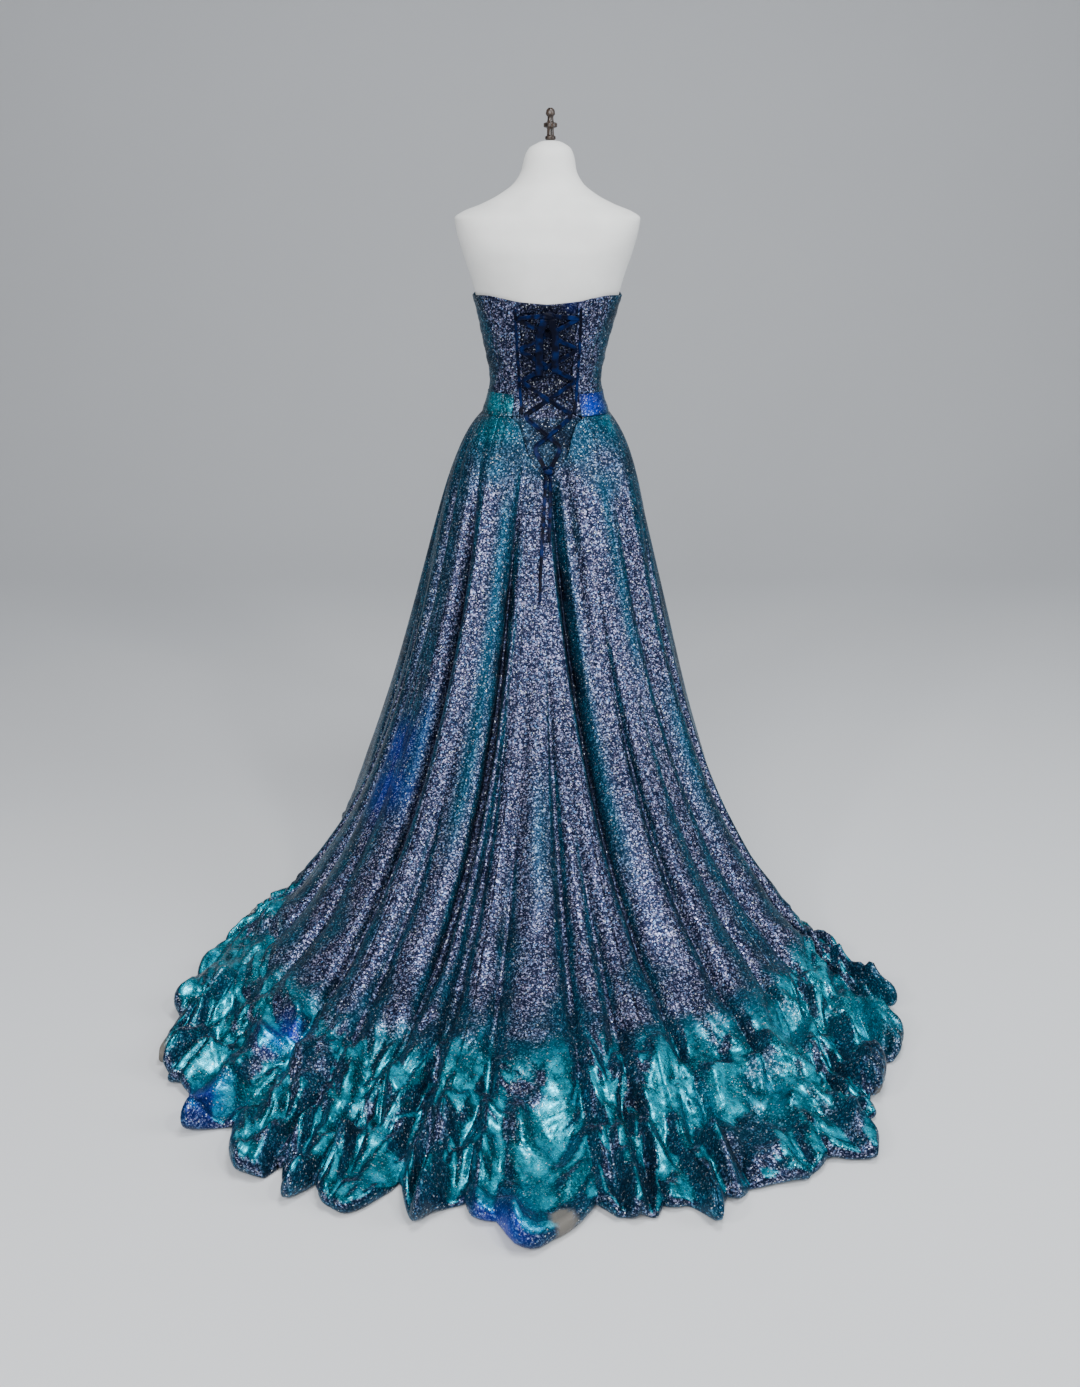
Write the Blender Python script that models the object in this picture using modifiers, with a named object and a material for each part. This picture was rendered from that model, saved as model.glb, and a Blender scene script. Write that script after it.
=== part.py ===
# A strapless prom dress with a laced back and a long train, worn by a dress form on a stand.
# Metres, +Z up, the dress's back faces -Y and +X is the wearer's right. The origin is under the
# stand's base, on the floor. Every wall is one closed shell and pieces that touch keep a 0.3 mm gap.
import math

import bmesh
import bpy
import numpy as np

# Gaps and cloth
SEAM_GAP = 0.0003
SKIRT_SEAM_GAP = 0.0006
HEM_SEAM_GAP = 0.0018  # from the last two rows of the hem down round its roll
CLOTH = 0.002  # wall of the glitter cloth with its lining
MODESTY_CLOTH = 0.0014
RIBBON = 0.0008
LEAST_OFF_FLOOR = 0.001

# Lifts of each layer's middle above the dress form
MODESTY_LIFT = 0.0024
BODICE_LIFT = 0.0062
FACET = 0.0008  # how far a panel of flat facets may stand off its curve
BAND_LIFT = BODICE_LIFT + CLOTH + SEAM_GAP + FACET
TAPE_LIFT = BODICE_LIFT + CLOTH / 2 + SEAM_GAP + FACET + RIBBON / 2
LACE_LIFT = TAPE_LIFT + RIBBON + SEAM_GAP
BOW_LIFT = 0.0185

# Heights
BAND_TOP = 1.087
BAND_BOTTOM = 1.041
BODICE_BOTTOM = 1.043
MODESTY_BOTTOM = 0.895
FORM_BOTTOM = 0.78
FORM_TOP = 1.588

# Stand
BASE_RADIUS = 0.17
BASE_HEIGHT = 0.014
POLE_RADIUS = 0.016
POLE_Y = 0.01

# The dress form: half width, how far its back and front lie from the centre, and how square it is
FORM_COLUMNS = ("z", "half_width", "back", "front", "centre_x", "centre_y", "power")
FORM = (
    (0.780, 0.160, 0.118, 0.112, 0.0, 0.0, 2.2),
    (0.860, 0.166, 0.122, 0.114, 0.0, 0.0, 2.2),
    (0.930, 0.162, 0.119, 0.112, 0.0, 0.0, 2.2),
    (0.985, 0.147, 0.106, 0.104, 0.0, 0.0, 2.2),
    (1.041, 0.1275, 0.090, 0.096, 0.0, 0.0, 2.2),
    (1.080, 0.1155, 0.082, 0.090, 0.0, 0.0, 2.2),
    (1.120, 0.1130, 0.080, 0.088, 0.0, 0.0, 2.2),
    (1.160, 0.1205, 0.086, 0.094, 0.0, 0.0, 2.2),
    (1.215, 0.1325, 0.096, 0.104, 0.0015, 0.0, 2.2),
    (1.270, 0.1470, 0.106, 0.104, 0.0035, 0.0, 2.2),
    (1.315, 0.1585, 0.112, 0.096, 0.0040, 0.0, 2.3),
    (1.366, 0.1755, 0.114, 0.086, 0.0040, 0.0, 2.5),
    (1.415, 0.1890, 0.104, 0.076, 0.0040, 0.0, 2.7),
    (1.438, 0.1920, 0.096, 0.068, 0.0040, 0.0, 2.6),
    (1.451, 0.1740, 0.088, 0.064, 0.0040, 0.0, 2.3),
    (1.464, 0.1400, 0.078, 0.062, 0.0045, 0.002, 2.1),
    (1.484, 0.1000, 0.066, 0.058, 0.0050, 0.006, 2.0),
    (1.506, 0.0710, 0.055, 0.054, 0.0060, 0.011, 2.0),
    (1.530, 0.0570, 0.052, 0.052, 0.0070, 0.015, 2.0),
    (1.553, 0.0520, 0.050, 0.050, 0.0080, 0.017, 2.0),
    (1.573, 0.0430, 0.042, 0.042, 0.0090, 0.017, 2.0),
    (1.584, 0.0250, 0.025, 0.025, 0.0100, 0.017, 2.0),
)
BUST_HEIGHT = 0.030
BUST_X = 0.078
BUST_Z = 1.218
BUST_WIDE = 0.050
BUST_TALL = 0.052
FORM_SIDES = 28

# The finial's profile: height above the neck's top, radius
FINIAL = (
    (0.0003, 0.009),
    (0.003, 0.011),
    (0.007, 0.011),
    (0.010, 0.0075),
    (0.022, 0.007),
    (0.026, 0.014),
    (0.032, 0.014),
    (0.036, 0.007),
    (0.044, 0.006),
    (0.050, 0.0095),
    (0.057, 0.0085),
    (0.062, 0.004),
)

# Seams of the bodice, in degrees round from the centre back towards the wearer's left
PANEL_COLUMNS = ("name", "first_top", "first_bottom", "last_top", "last_bottom")
PANELS = (
    ("bodice_back_left", 27.6, 33.0, 58.0, 58.0),
    ("bodice_side_back_left", 58.0, 58.0, 90.0, 90.0),
    ("bodice_side_front_left", 90.0, 90.0, 147.0, 150.0),
    ("bodice_front", 147.0, 150.0, 213.0, 210.0),
    ("bodice_side_front_right", 213.0, 210.0, 270.0, 270.0),
    ("bodice_side_back_right", 270.0, 270.0, 302.0, 302.0),
    ("bodice_back_right", 302.0, 302.0, 328.2, 322.0),
)
WIDE_PANEL = 40.0  # degrees, from which a panel has more columns
BAND_FIRST = 40.0
BAND_LAST = 317.5
TOP_EDGE_COLUMNS = ("round", "z")
TOP_EDGE = (
    (0.0, 1.272),
    (30.0, 1.277),
    (60.0, 1.288),
    (90.0, 1.284),
    (120.0, 1.306),
    (150.0, 1.334),
    (180.0, 1.302),
    (210.0, 1.334),
    (240.0, 1.306),
    (270.0, 1.284),
    (300.0, 1.288),
    (330.0, 1.277),
    (360.0, 1.272),
)
MODESTY_TOP_HALF = 40.0
MODESTY_BOTTOM_HALF = 14.0

# Valleys between the skirt's folds, going round from the wearer's left side past the back.
# waist: degrees round from +X. hem_x, hem_y: where it meets the hem. bow: how far its path bends
# sideways. start: the share of the way down where it begins. mid, hem: its depth there. wide: half
# its width at the middle.
FOLD_COLUMNS = ("name", "waist", "hem_x", "hem_y", "bow", "start", "mid", "hem", "wide", "lobe")
FOLDS = (
    ("left_side", -181.0, -0.672, -0.525, 0.00, 0.15, 0.030, 0.040, 0.016, 0.00),
    ("left_back", -169.0, -0.695, -0.790, 0.00, 0.00, 0.050, 0.045, 0.014, 0.00),
    ("left_train_1", -160.0, -0.650, -0.985, 0.00, 0.45, 0.012, 0.045, 0.018, 0.00),
    ("left_back_deep", -151.0, -0.535, -1.130, 0.00, 0.00, 0.060, 0.045, 0.015, 0.03),
    ("left_train_2", -134.0, -0.440, -1.220, 0.00, 0.30, 0.020, 0.045, 0.016, 0.00),
    ("back_left", -113.0, -0.355, -1.265, -0.02, 0.00, 0.050, 0.045, 0.014, 0.04),
    ("back_train_1", -107.0, -0.240, -1.265, 0.00, 0.40, 0.016, 0.040, 0.015, 0.03),
    ("back_train_2", -101.5, -0.125, -1.295, 0.00, 0.55, 0.008, 0.040, 0.018, 0.06),
    ("centre_back", -96.5, 0.080, -1.300, 0.00, 0.30, 0.020, 0.040, 0.012, 0.01),
    ("back_train_3", -92.5, 0.185, -1.305, 0.00, 0.55, 0.008, 0.045, 0.018, 0.01),
    ("back_right", -88.5, 0.325, -1.265, 0.00, 0.00, 0.055, 0.045, 0.012, -0.03),
    ("right_train_1", -62.0, 0.470, -1.205, 0.00, 0.20, 0.035, 0.045, 0.016, 0.01),
    ("right_train_2", -50.0, 0.565, -1.065, 0.00, 0.50, 0.008, 0.045, 0.018, -0.03),
    ("right_back", -39.0, 0.620, -0.920, 0.00, 0.00, 0.030, 0.040, 0.014, 0.00),
    ("right_back_deep", -14.0, 0.660, -0.765, 0.00, 0.15, 0.055, 0.045, 0.015, 0.01),
    ("right_side", -3.0, 0.608, -0.590, 0.00, 0.10, 0.030, 0.040, 0.016, 0.00),
    ("right_hip", 9.0, 0.478, -0.380, 0.00, 0.05, 0.035, 0.035, 0.016, -0.01),
    ("front_right_1", 30.0, 0.450, -0.115, 0.00, 0.05, 0.035, 0.030, 0.018, 0.00),
    ("front_right_2", 55.0, 0.400, 0.160, 0.00, 0.05, 0.030, 0.030, 0.018, 0.00),
    ("front_right_3", 80.0, 0.205, 0.390, 0.00, 0.08, 0.030, 0.030, 0.018, 0.00),
    ("front_left_3", 104.0, -0.080, 0.440, 0.00, 0.06, 0.030, 0.030, 0.018, 0.00),
    ("front_left_2", 130.0, -0.340, 0.320, 0.00, 0.05, 0.030, 0.030, 0.018, 0.00),
    ("front_left_1", 152.0, -0.495, 0.060, 0.00, 0.05, 0.035, 0.030, 0.018, 0.00),
    ("left_hip", 167.0, -0.535, -0.270, 0.00, 0.05, 0.035, 0.035, 0.016, 0.02),
)
HEM_LOBE = 0.030  # how far the hem is drawn in at each valley
WIDER_AT_HEM = 1.7

# The skirt's drop for each length from waist to hem, as a cubic Bezier of reach and height
DROP_COLUMNS = ("length", "reach_1", "z_1", "reach_2", "z_2", "crest")
DROP = (
    (0.30, 0.09, 0.720, 0.18, 0.330, 0.030),
    (0.46, 0.11, 0.710, 0.20, 0.330, 0.034),
    (0.60, 0.13, 0.700, 0.21, 0.160, 0.044),
    (0.75, 0.14, 0.700, 0.22, 0.080, 0.050),
    (1.00, 0.13, 0.700, 0.31, 0.020, 0.050),
    (1.25, 0.11, 0.700, 0.41, 0.010, 0.048),
)
HIP_SWELL = 0.052  # how far the pleats stand out over the hips, and how fast they get there
HIP_FALL = 0.050
FLAT_BACK = 1.40  # share of that swell lost behind, where the cloth lies close under the V
FLAT_BACK_WIDE = 0.065
# The V at the centre back: distance from the middle, height of the skirt's edge
NOTCH_COLUMNS = ("across", "z")
NOTCH = (
    (0.000, 0.915),
    (0.022, 0.938),
    (0.043, 0.972),
    (0.052, 1.004),
    (0.062, 1.030),
    (0.078, 1.041),
)
NOTCH_X = 0.004
LEVELS = (0, 0.035, 0.08, 0.14, 0.21, 0.29, 0.38, 0.47, 0.56, 0.65, 0.74, 0.83, 0.92, 1.0)
ROLL_DEGREES = (60.0, 120.0, 180.0)
ROLL_LEAST = 0.006
ACROSS_FOLD = (0.0, 0.11, 0.28, 0.5, 0.72, 0.89)
FORM_CLEARANCE = 0.006

# Creases of the stiff cloth near the hem: how long each wave is, its direction and its height
CREASE_COLUMNS = ("length", "degrees", "phase", "height")
CREASES = (
    (0.190, 20.0, 0.3, 0.010),
    (0.150, 75.0, 1.9, 0.009),
    (0.120, 128.0, 4.1, 0.008),
)
CREASE_START = 0.55

# Gores of the skirt: each runs from the crest after its first valley to the crest after its last
GORES = (
    ("skirt_side_left", 0, 3),
    ("skirt_back_left", 3, 6),
    ("skirt_centre_back_left", 6, 9),
    ("skirt_centre_back_right", 9, 12),
    ("skirt_back_right", 12, 15),
    ("skirt_side_right", 15, 18),
    ("skirt_front_right", 18, 21),
    ("skirt_front_left", 21, 24),
)

# The lacing: height and the two edges it turns round
LACE_COLUMNS = ("z", "left", "right")
LACE_ROWS = (
    (1.244, -0.059, 0.070),
    (1.180, -0.056, 0.068),
    (1.115, -0.052, 0.064),
    (1.045, -0.046, 0.058),
    (0.982, -0.025, 0.033),
)
LACE_END_Z = 0.9388
LACE_TOP_END = 0.0010  # from the ribbon's end to the bow's knot, measured across
LACE_WIDTH = 0.009
LACE_TURN = 0.012
LACE_OVER = 0.0034
LACE_OVER_SPREAD = 0.026
TAPE_WIDTH = 0.006
TAPE_OUTSIDE = 0.003
KNOT_X = 0.005
KNOT_Z = 1.250
KNOT_SIZE = (0.024, 0.013, 0.015)
KNOT_LIFT = 0.0165
LOWER_KNOT_SIZE = (0.019, 0.010, 0.012)
LOWER_KNOT_Z = 0.9320
LOWER_KNOT_LIFT = 0.0125
BOW_STRAIGHT = 0.004
BOW_LOOPS = (
    ("bow_loop_left", -0.013, 1.126, 0.012),
    ("bow_loop_right", 0.020, 1.131, 0.011),
)
TAIL_RADIUS = 0.004
TAIL_STEP = 0.018
# The laces' two free ends, from under the lower knot down over the skirt
TAIL_COLUMNS = ("x", "y", "z")
TAIL_LONG = (
    (0.0005, -0.1345, 0.9256),
    (0.0000, -0.1374, 0.9120),
    (-0.0015, -0.1422, 0.8900),
    (-0.0035, -0.1587, 0.8500),
    (-0.0060, -0.1767, 0.8100),
    (-0.0085, -0.1952, 0.7700),
    (-0.0105, -0.2159, 0.7300),
    (-0.0115, -0.2362, 0.6900),
    (-0.0117, -0.2427, 0.6790),
)
TAIL_SHORT = (
    (0.0095, -0.1345, 0.9256),
    (0.0102, -0.1374, 0.9120),
    (0.0105, -0.1410, 0.8900),
    (0.0098, -0.1572, 0.8500),
    (0.0082, -0.1747, 0.8100),
    (0.0075, -0.1827, 0.7930),
)


def column(rows, names, name):
    """One named column of a table."""
    index = names.index(name)
    return np.array([row[index] for row in rows], float)


def smooth(x, xs, ys):
    """A curve through a table's points that never swings past them (monotone cubic)."""
    x = np.clip(x, xs[0], xs[-1])
    step = np.diff(xs)
    slope = np.diff(ys) / step
    ends = np.zeros(len(xs))
    same = slope[:-1] * slope[1:] > 0
    mean = 2 * slope[:-1] * slope[1:] / np.where(same, slope[:-1] + slope[1:], 1)
    ends[1:-1] = np.where(same, mean, 0)
    ends[0] = slope[0]
    ends[-1] = slope[-1]
    i = np.clip(np.searchsorted(xs, x, side="right") - 1, 0, len(xs) - 2)
    u = (x - xs[i]) / step[i]
    start = (1 + 2 * u) * (1 - u) ** 2 * ys[i] + u * (1 - u) ** 2 * step[i] * ends[i]
    end = u**2 * (3 - 2 * u) * ys[i + 1] - u**2 * (1 - u) * step[i] * ends[i + 1]
    return start + end


def around(s, values, turn=0.0):
    """A smooth closed curve through one value for each valley (Catmull-Rom)."""
    count = len(values)
    base = np.floor(s).astype(int)
    u = s - base

    def at(k):
        return values[k % count] + turn * (k // count)

    a, b, c, d = at(base - 1), at(base), at(base + 1), at(base + 2)
    return b + 0.5 * u * (c - a + u * (2 * a - 5 * b + 4 * c - d + u * (3 * (b - c) + d - a)))


def ease(x):
    """From 0 to 1 with level ends."""
    x = np.clip(x, 0, 1)
    return x * x * (3 - 2 * x)


def form_section(z, name):
    return smooth(z, column(FORM, FORM_COLUMNS, "z"), column(FORM, FORM_COLUMNS, name))


def form_point(angle, z, lift=0.0):
    """A point of the dress form's surface: a superellipse at each height, with the bust added."""
    across = form_section(z, "half_width")
    deep = np.where(np.sin(angle) < 0, form_section(z, "back"), form_section(z, "front"))
    power = form_section(z, "power")
    radius = (np.abs(np.cos(angle) / across) ** power + np.abs(np.sin(angle) / deep) ** power)
    radius = radius ** (-1 / power)
    x = radius * np.cos(angle)
    y = radius * np.sin(angle)
    side = ((np.abs(x) - BUST_X) / BUST_WIDE) ** 2 + ((z - BUST_Z) / BUST_TALL) ** 2
    y = y + np.where(y > 0, BUST_HEIGHT * np.exp(-side) * ease(y / 0.06), 0)
    grow = 1 + lift / np.hypot(x, y)
    x = x * grow + form_section(z, "centre_x")
    return np.stack([x, y * grow + form_section(z, "centre_y"), z + 0 * x], -1)


def neck_top():
    """The middle of the form's neck, at its top."""
    top = FORM[-1]
    return (top[FORM_COLUMNS.index("centre_x")], top[FORM_COLUMNS.index("centre_y")], FORM_TOP)


def from_back(degrees):
    """Degrees round from the centre back towards the wearer's left, as an angle from +X."""
    return np.radians(-90.0 - degrees)


def back_point(x, z, lift):
    """The point of the form's back at this distance from the middle, and the way out of it."""
    angle = np.full(np.shape(x), -math.pi / 2)
    for _ in range(12):
        found = form_point(angle, z, lift)
        angle = angle + (x - found[..., 0]) / 0.11
    near = form_point(angle + 0.02, z, lift) - form_point(angle - 0.02, z, lift)
    out = np.stack([near[..., 1], -near[..., 0], 0 * near[..., 0]], -1)
    return form_point(angle, z, lift), out / np.linalg.norm(out, axis=-1, keepdims=True)


def waist_point(angle):
    """The skirt's top edge under the waistband."""
    return form_point(angle, np.full(np.shape(angle), BAND_BOTTOM - SEAM_GAP), BAND_LIFT)


def fold(name):
    return column(FOLDS, FOLD_COLUMNS, name)


def drop_value(length, name):
    return smooth(length, column(DROP, DROP_COLUMNS, "length"), column(DROP, DROP_COLUMNS, name))


def skirt_base(s, t):
    """The skirt over its crests: each path falls from the waist to the hem on a Bezier curve."""
    waist = waist_point(np.radians(around(s, fold("waist"), 360.0)))
    hem = np.stack([around(s, fold("hem_x")), around(s, fold("hem_y"))], -1)
    way = hem - waist[..., :2]
    length = np.linalg.norm(way, axis=-1)
    way = way / length[..., None]
    scallop = np.abs(np.sin(math.pi * s))
    drawn_in = HEM_LOBE * (1 - scallop) * ease((length - 0.3) / 0.4)
    extra = fold("lobe")[np.floor(s).astype(int) % len(FOLDS)] * scallop
    a, b, c, d = (1 - t) ** 3, 3 * t * (1 - t) ** 2, 3 * t**2 * (1 - t), t**3
    reach = b * drop_value(length, "reach_1") + c * drop_value(length, "reach_2")
    flat = FLAT_BACK * np.exp(-((waist[..., 0] / FLAT_BACK_WIDE) ** 2)) * ease(-waist[..., 1] / 0.08)
    swell = HIP_SWELL * (1 - flat)
    reach = reach + d * (length - drawn_in + extra - swell)
    z = a * waist[..., 2] + b * drop_value(length, "z_1") + c * drop_value(length, "z_2")
    z = z + d * drop_value(length, "crest")
    reach = reach + swell * (1 - np.exp((z - waist[..., 2]) / HIP_FALL))
    share = reach / length
    side = np.stack([way[..., 1], -way[..., 0]], -1)
    bend = around(s, fold("bow")) * 4 * share * (1 - share)
    plan = waist[..., :2] + way * reach[..., None] + side * bend[..., None]
    return np.concatenate([plan, z[..., None]], -1)


def tangents(surface, s, t):
    """Steps along the skirt, down it, and the way out of it."""
    step = 0.004
    across = surface(s + step, t) - surface(s - step, t)
    low, high = np.clip(t - step, 0, 1), np.clip(t + step, 0, 1)
    down = surface(s, high) - surface(s, low)
    out = np.cross(down, across)
    return across, down, out / np.linalg.norm(out, axis=-1, keepdims=True)


def valley_depth(s, t):
    """How far the skirt lies inside its crests: a narrow soft trough at each valley."""
    nearest = np.round(s).astype(int)
    count = len(FOLDS)
    k = nearest % count
    spacing = np.linalg.norm(skirt_base(nearest + 0.5, t) - skirt_base(nearest - 0.5, t), axis=-1)
    away = np.abs(s - nearest) * spacing
    start = fold("start")[k]
    middle, hem, wide = fold("mid")[k], fold("hem")[k], fold("wide")[k]
    deep = middle * ease((t - start) / 0.32)
    deep = deep + (hem - middle) * ease((t - 0.5) / 0.45)
    deep = np.maximum(deep, 0.004 * ease(t / 0.05) * (start < 0.1))
    wide = np.minimum(wide * (1 + (WIDER_AT_HEM - 1) * ease(t)), 0.3 * spacing)
    return deep * np.exp(-((away / wide) ** 1.7))


def crease(x, y):
    """Folded ridges of stiff cloth: triangle waves in three directions."""
    total = 0
    for row in CREASES:
        wave = dict(zip(CREASE_COLUMNS, row))
        angle = math.radians(wave["degrees"])
        along = (x * math.cos(angle) + y * math.sin(angle)) / wave["length"]
        triangle = np.arcsin(np.sin(2 * math.pi * along + wave["phase"])) * 2 / math.pi
        total = total + wave["height"] * triangle
    return total


def keep_clear(point):
    """Keeps the cloth outside the dress form and off the floor."""
    z = np.maximum(point[..., 2], LEAST_OFF_FLOOR + CLOTH / 2)
    angle = np.arctan2(point[..., 1], point[..., 0])
    least = form_point(angle, np.clip(z, FORM_BOTTOM, BAND_BOTTOM), FORM_CLEARANCE)
    least = np.hypot(least[..., 0], least[..., 1])
    radius = np.hypot(point[..., 0], point[..., 1])
    inside = z > FORM_BOTTOM - 0.05
    grow = np.where(inside, np.maximum(1, least / radius), 1)
    return np.stack([point[..., 0] * grow, point[..., 1] * grow, z], -1)


def skirt_point(s, t):
    """The skirt's middle surface: crests, less the valleys, with creases towards the hem."""
    base = skirt_base(s, t)
    _, _, out = tangents(skirt_base, s, t)
    inward = valley_depth(s, t)
    rough = ease((t - CREASE_START) / (1 - CREASE_START))
    rough = rough * crease(base[..., 0], base[..., 1])
    point = base + out * (rough - inward)[..., None]
    low = np.where(t > 0.9, LEAST_OFF_FLOOR + CLOTH / 2 + 2 * ROLL_LEAST * (t - 0.9) / 0.1, 0)
    point[..., 2] = np.maximum(point[..., 2], low)
    return keep_clear(point)


def notch_level(s):
    """How far down each path the V at the centre back begins."""
    level = np.zeros(np.shape(s))
    tries = np.linspace(0, 0.25, 101)
    xs, zs = column(NOTCH, NOTCH_COLUMNS, "across"), column(NOTCH, NOTCH_COLUMNS, "z")
    for index, place in np.ndenumerate(s):
        path = skirt_point(np.full(tries.shape, place), tries)
        edge = smooth(np.abs(path[:, 0] - NOTCH_X), xs, zs) - SEAM_GAP
        below = path[:, 2] <= np.where(path[:, 1] < 0, edge, BAND_BOTTOM)
        level[index] = tries[np.argmax(below)]
    return level


def roll_points(edge, before):
    """The hem rolled down and under itself, from its last row and the row before."""
    way = edge[:, :2] - before[:, :2]
    way = sum(np.roll(way, shift, axis=0) for shift in range(-2, 3))
    way = way / np.linalg.norm(way, axis=1, keepdims=True)
    low = LEAST_OFF_FLOOR + CLOTH / 2
    radius = (edge[:, 2] - low) / 2
    rows = []
    for degrees in ROLL_DEGREES:
        angle = math.radians(degrees)
        plan = edge[:, :2] + way * (radius * math.sin(angle))[:, None]
        rows.append(np.column_stack([plan, edge[:, 2] - radius * (1 - math.cos(angle))]))
    return rows


def grid_normals(grid):
    """The way out of a grid of points, rows down and columns round."""
    down = np.gradient(grid, axis=0)
    across = np.gradient(grid, axis=1)
    out = np.cross(down, across)
    return out / np.linalg.norm(out, axis=2, keepdims=True)


def skirt_grid():
    """The whole skirt as one closed ring of columns, and the way out of it."""
    folds = np.arange(len(FOLDS))[:, None] + np.array(ACROSS_FOLD)[None, :]
    s = folds.ravel()
    top = notch_level(s)
    levels = top[None, :] + (1 - top[None, :]) * np.array(LEVELS)[:, None]
    grid = skirt_point(np.broadcast_to(s, levels.shape), levels)
    rows = roll_points(grid[-1], grid[-2])
    grid = np.concatenate([grid, np.stack(rows)])
    ring = np.concatenate([grid[:, -2:], grid, grid[:, :2]], axis=1)
    normals = grid_normals(ring)[:, 2:-2]
    return grid, level_rows(normals, (0,))


def material(name, colour, roughness, metallic=0.0, sheen=0.0):
    """A Principled material."""
    made = bpy.data.materials.new(name)
    made.use_nodes = True
    shader = made.node_tree.nodes["Principled BSDF"]
    shader.inputs["Base Color"].default_value = (*colour, 1.0)
    shader.inputs["Roughness"].default_value = roughness
    shader.inputs["Metallic"].default_value = metallic
    shader.inputs["Sheen Weight"].default_value = sheen
    made.diffuse_color = (*colour, 1.0)
    return made


def add_mesh(name, points, faces, look, collection):
    """A mesh object from points and faces, its faces turned outwards."""
    mesh = bpy.data.meshes.new(name)
    mesh.from_pydata([tuple(p) for p in points], [], [tuple(f) for f in faces])
    shape = bmesh.new()
    shape.from_mesh(mesh)
    bmesh.ops.recalc_face_normals(shape, faces=shape.faces)
    shape.to_mesh(mesh)
    shape.free()
    mesh.materials.append(look)
    made = bpy.data.objects.new(name, mesh)
    collection.objects.link(made)
    return made


def add_shell(name, grid, normals, wall, look, collection):
    """A wall of cloth on both sides of a grid of points, closed along its four edges."""
    rows, columns = grid.shape[:2]
    half = normals * wall / 2
    points = np.concatenate([(grid + half).reshape(-1, 3), (grid - half).reshape(-1, 3)])
    index = np.arange(rows * columns).reshape(rows, columns)
    a, b = index[:-1, :-1].ravel(), index[:-1, 1:].ravel()
    c, d = index[1:, 1:].ravel(), index[1:, :-1].ravel()
    under = rows * columns
    faces = list(np.column_stack([a, d, c, b]))
    faces += list(np.column_stack([a, b, c, d]) + under)
    edge = np.concatenate([index[0, :], index[1:, -1], index[-1, -2::-1], index[-2:0:-1, 0]])
    after = np.roll(edge, -1)
    faces += list(np.column_stack([edge, after, after + under, edge + under]))
    return add_mesh(name, points, faces, look, collection)


def level_rows(normals, rows):
    """The ways out of a grid, made level in these rows so that their edges are cut level."""
    normals = normals.copy()
    for row in rows:
        normals[row, :, 2] = 0
    return normals / np.linalg.norm(normals, axis=2, keepdims=True)


def apart(grid, gap):
    """Draws a piece's side columns in by half the seam's gap, which may differ from row to row."""
    grid = grid.copy()
    for side, inner in ((0, 1), (-1, -2)):
        way = grid[:, inner] - grid[:, side]
        grid[:, side] += way / np.linalg.norm(way, axis=1, keepdims=True) * gap / 2
    return grid


def add_panel(name, round_from, round_to, top, bottom, lift, wall, size, look, collection):
    """A piece of the bodice between two seams, its top and bottom at the heights given."""
    rows, columns = size
    v = np.linspace(0, 1, rows)[:, None]
    u = np.linspace(0, 1, columns)[None, :]
    left = round_from[0] + (round_from[1] - round_from[0]) * v
    right = round_to[0] + (round_to[1] - round_to[0]) * v
    degrees = left + (right - left) * u
    high = top(degrees)
    z = high + (bottom - high) * v
    # The angle runs against the grid's columns, so the columns are turned to face outwards.
    angle = from_back(degrees)
    grid = form_point(angle, z, lift)
    step = 0.01
    across = form_point(angle + step, z, lift) - form_point(angle - step, z, lift)
    down = form_point(angle, z - 0.002, lift) - form_point(angle, z + 0.002, lift)
    normals = level_rows(np.cross(down, across), (0, -1))
    return add_shell(name, apart(grid, SEAM_GAP), normals, wall, look, collection)


def add_bodice(look, collection):
    """The seven panels of the corset bodice."""
    rounds = column(TOP_EDGE, TOP_EDGE_COLUMNS, "round")
    heights = column(TOP_EDGE, TOP_EDGE_COLUMNS, "z")

    def top(degrees):
        return smooth(degrees, rounds, heights)

    for row in PANELS:
        panel = dict(zip(PANEL_COLUMNS, row))
        wide = 7 if panel["last_top"] - panel["first_top"] > WIDE_PANEL else 5
        add_panel(
            panel["name"],
            (panel["first_top"], panel["first_bottom"]),
            (panel["last_top"], panel["last_bottom"]),
            top,
            BODICE_BOTTOM,
            BODICE_LIFT,
            CLOTH,
            (10, wide),
            look,
            collection,
        )


def add_band(look, collection):
    """The waistband, open at the lacing."""
    add_panel(
        "waistband",
        (BAND_FIRST, BAND_FIRST),
        (BAND_LAST, BAND_LAST),
        lambda degrees: BAND_TOP + 0 * degrees,
        BAND_BOTTOM,
        BAND_LIFT,
        CLOTH,
        (4, 38),
        look,
        collection,
    )


def add_modesty_panel(look, collection):
    """The panel under the lacing, narrowing towards the V."""
    rows, columns = 13, 9
    v = np.linspace(0, 1, rows)[:, None]
    u = np.linspace(-1, 1, columns)[None, :]
    half = MODESTY_TOP_HALF + (MODESTY_BOTTOM_HALF - MODESTY_TOP_HALF) * v**5
    degrees = half * u
    top = smooth(
        np.abs(degrees),
        column(TOP_EDGE, TOP_EDGE_COLUMNS, "round"),
        column(TOP_EDGE, TOP_EDGE_COLUMNS, "z"),
    )
    z = top + (MODESTY_BOTTOM - top) * v
    grid = form_point(from_back(degrees), z, MODESTY_LIFT)
    add_shell("modesty_panel", grid, -grid_normals(grid), MODESTY_CLOTH, look, collection)


def add_skirt(look, collection):
    """The gores, cut from one ring of columns."""
    grid, normals = skirt_grid()
    each = len(ACROSS_FOLD)
    count = grid.shape[1]
    for name, first, last in GORES:
        pick = (np.arange(first * each, last * each + 1) + ACROSS_FOLD.index(0.5)) % count
        gaps = np.full(len(grid), SKIRT_SEAM_GAP)
        gaps[-len(ROLL_DEGREES) - 2 :] = HEM_SEAM_GAP
        piece = apart(grid[:, pick], gaps[:, None])
        add_shell(name, piece, normals[:, pick], CLOTH, look, collection)


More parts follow.
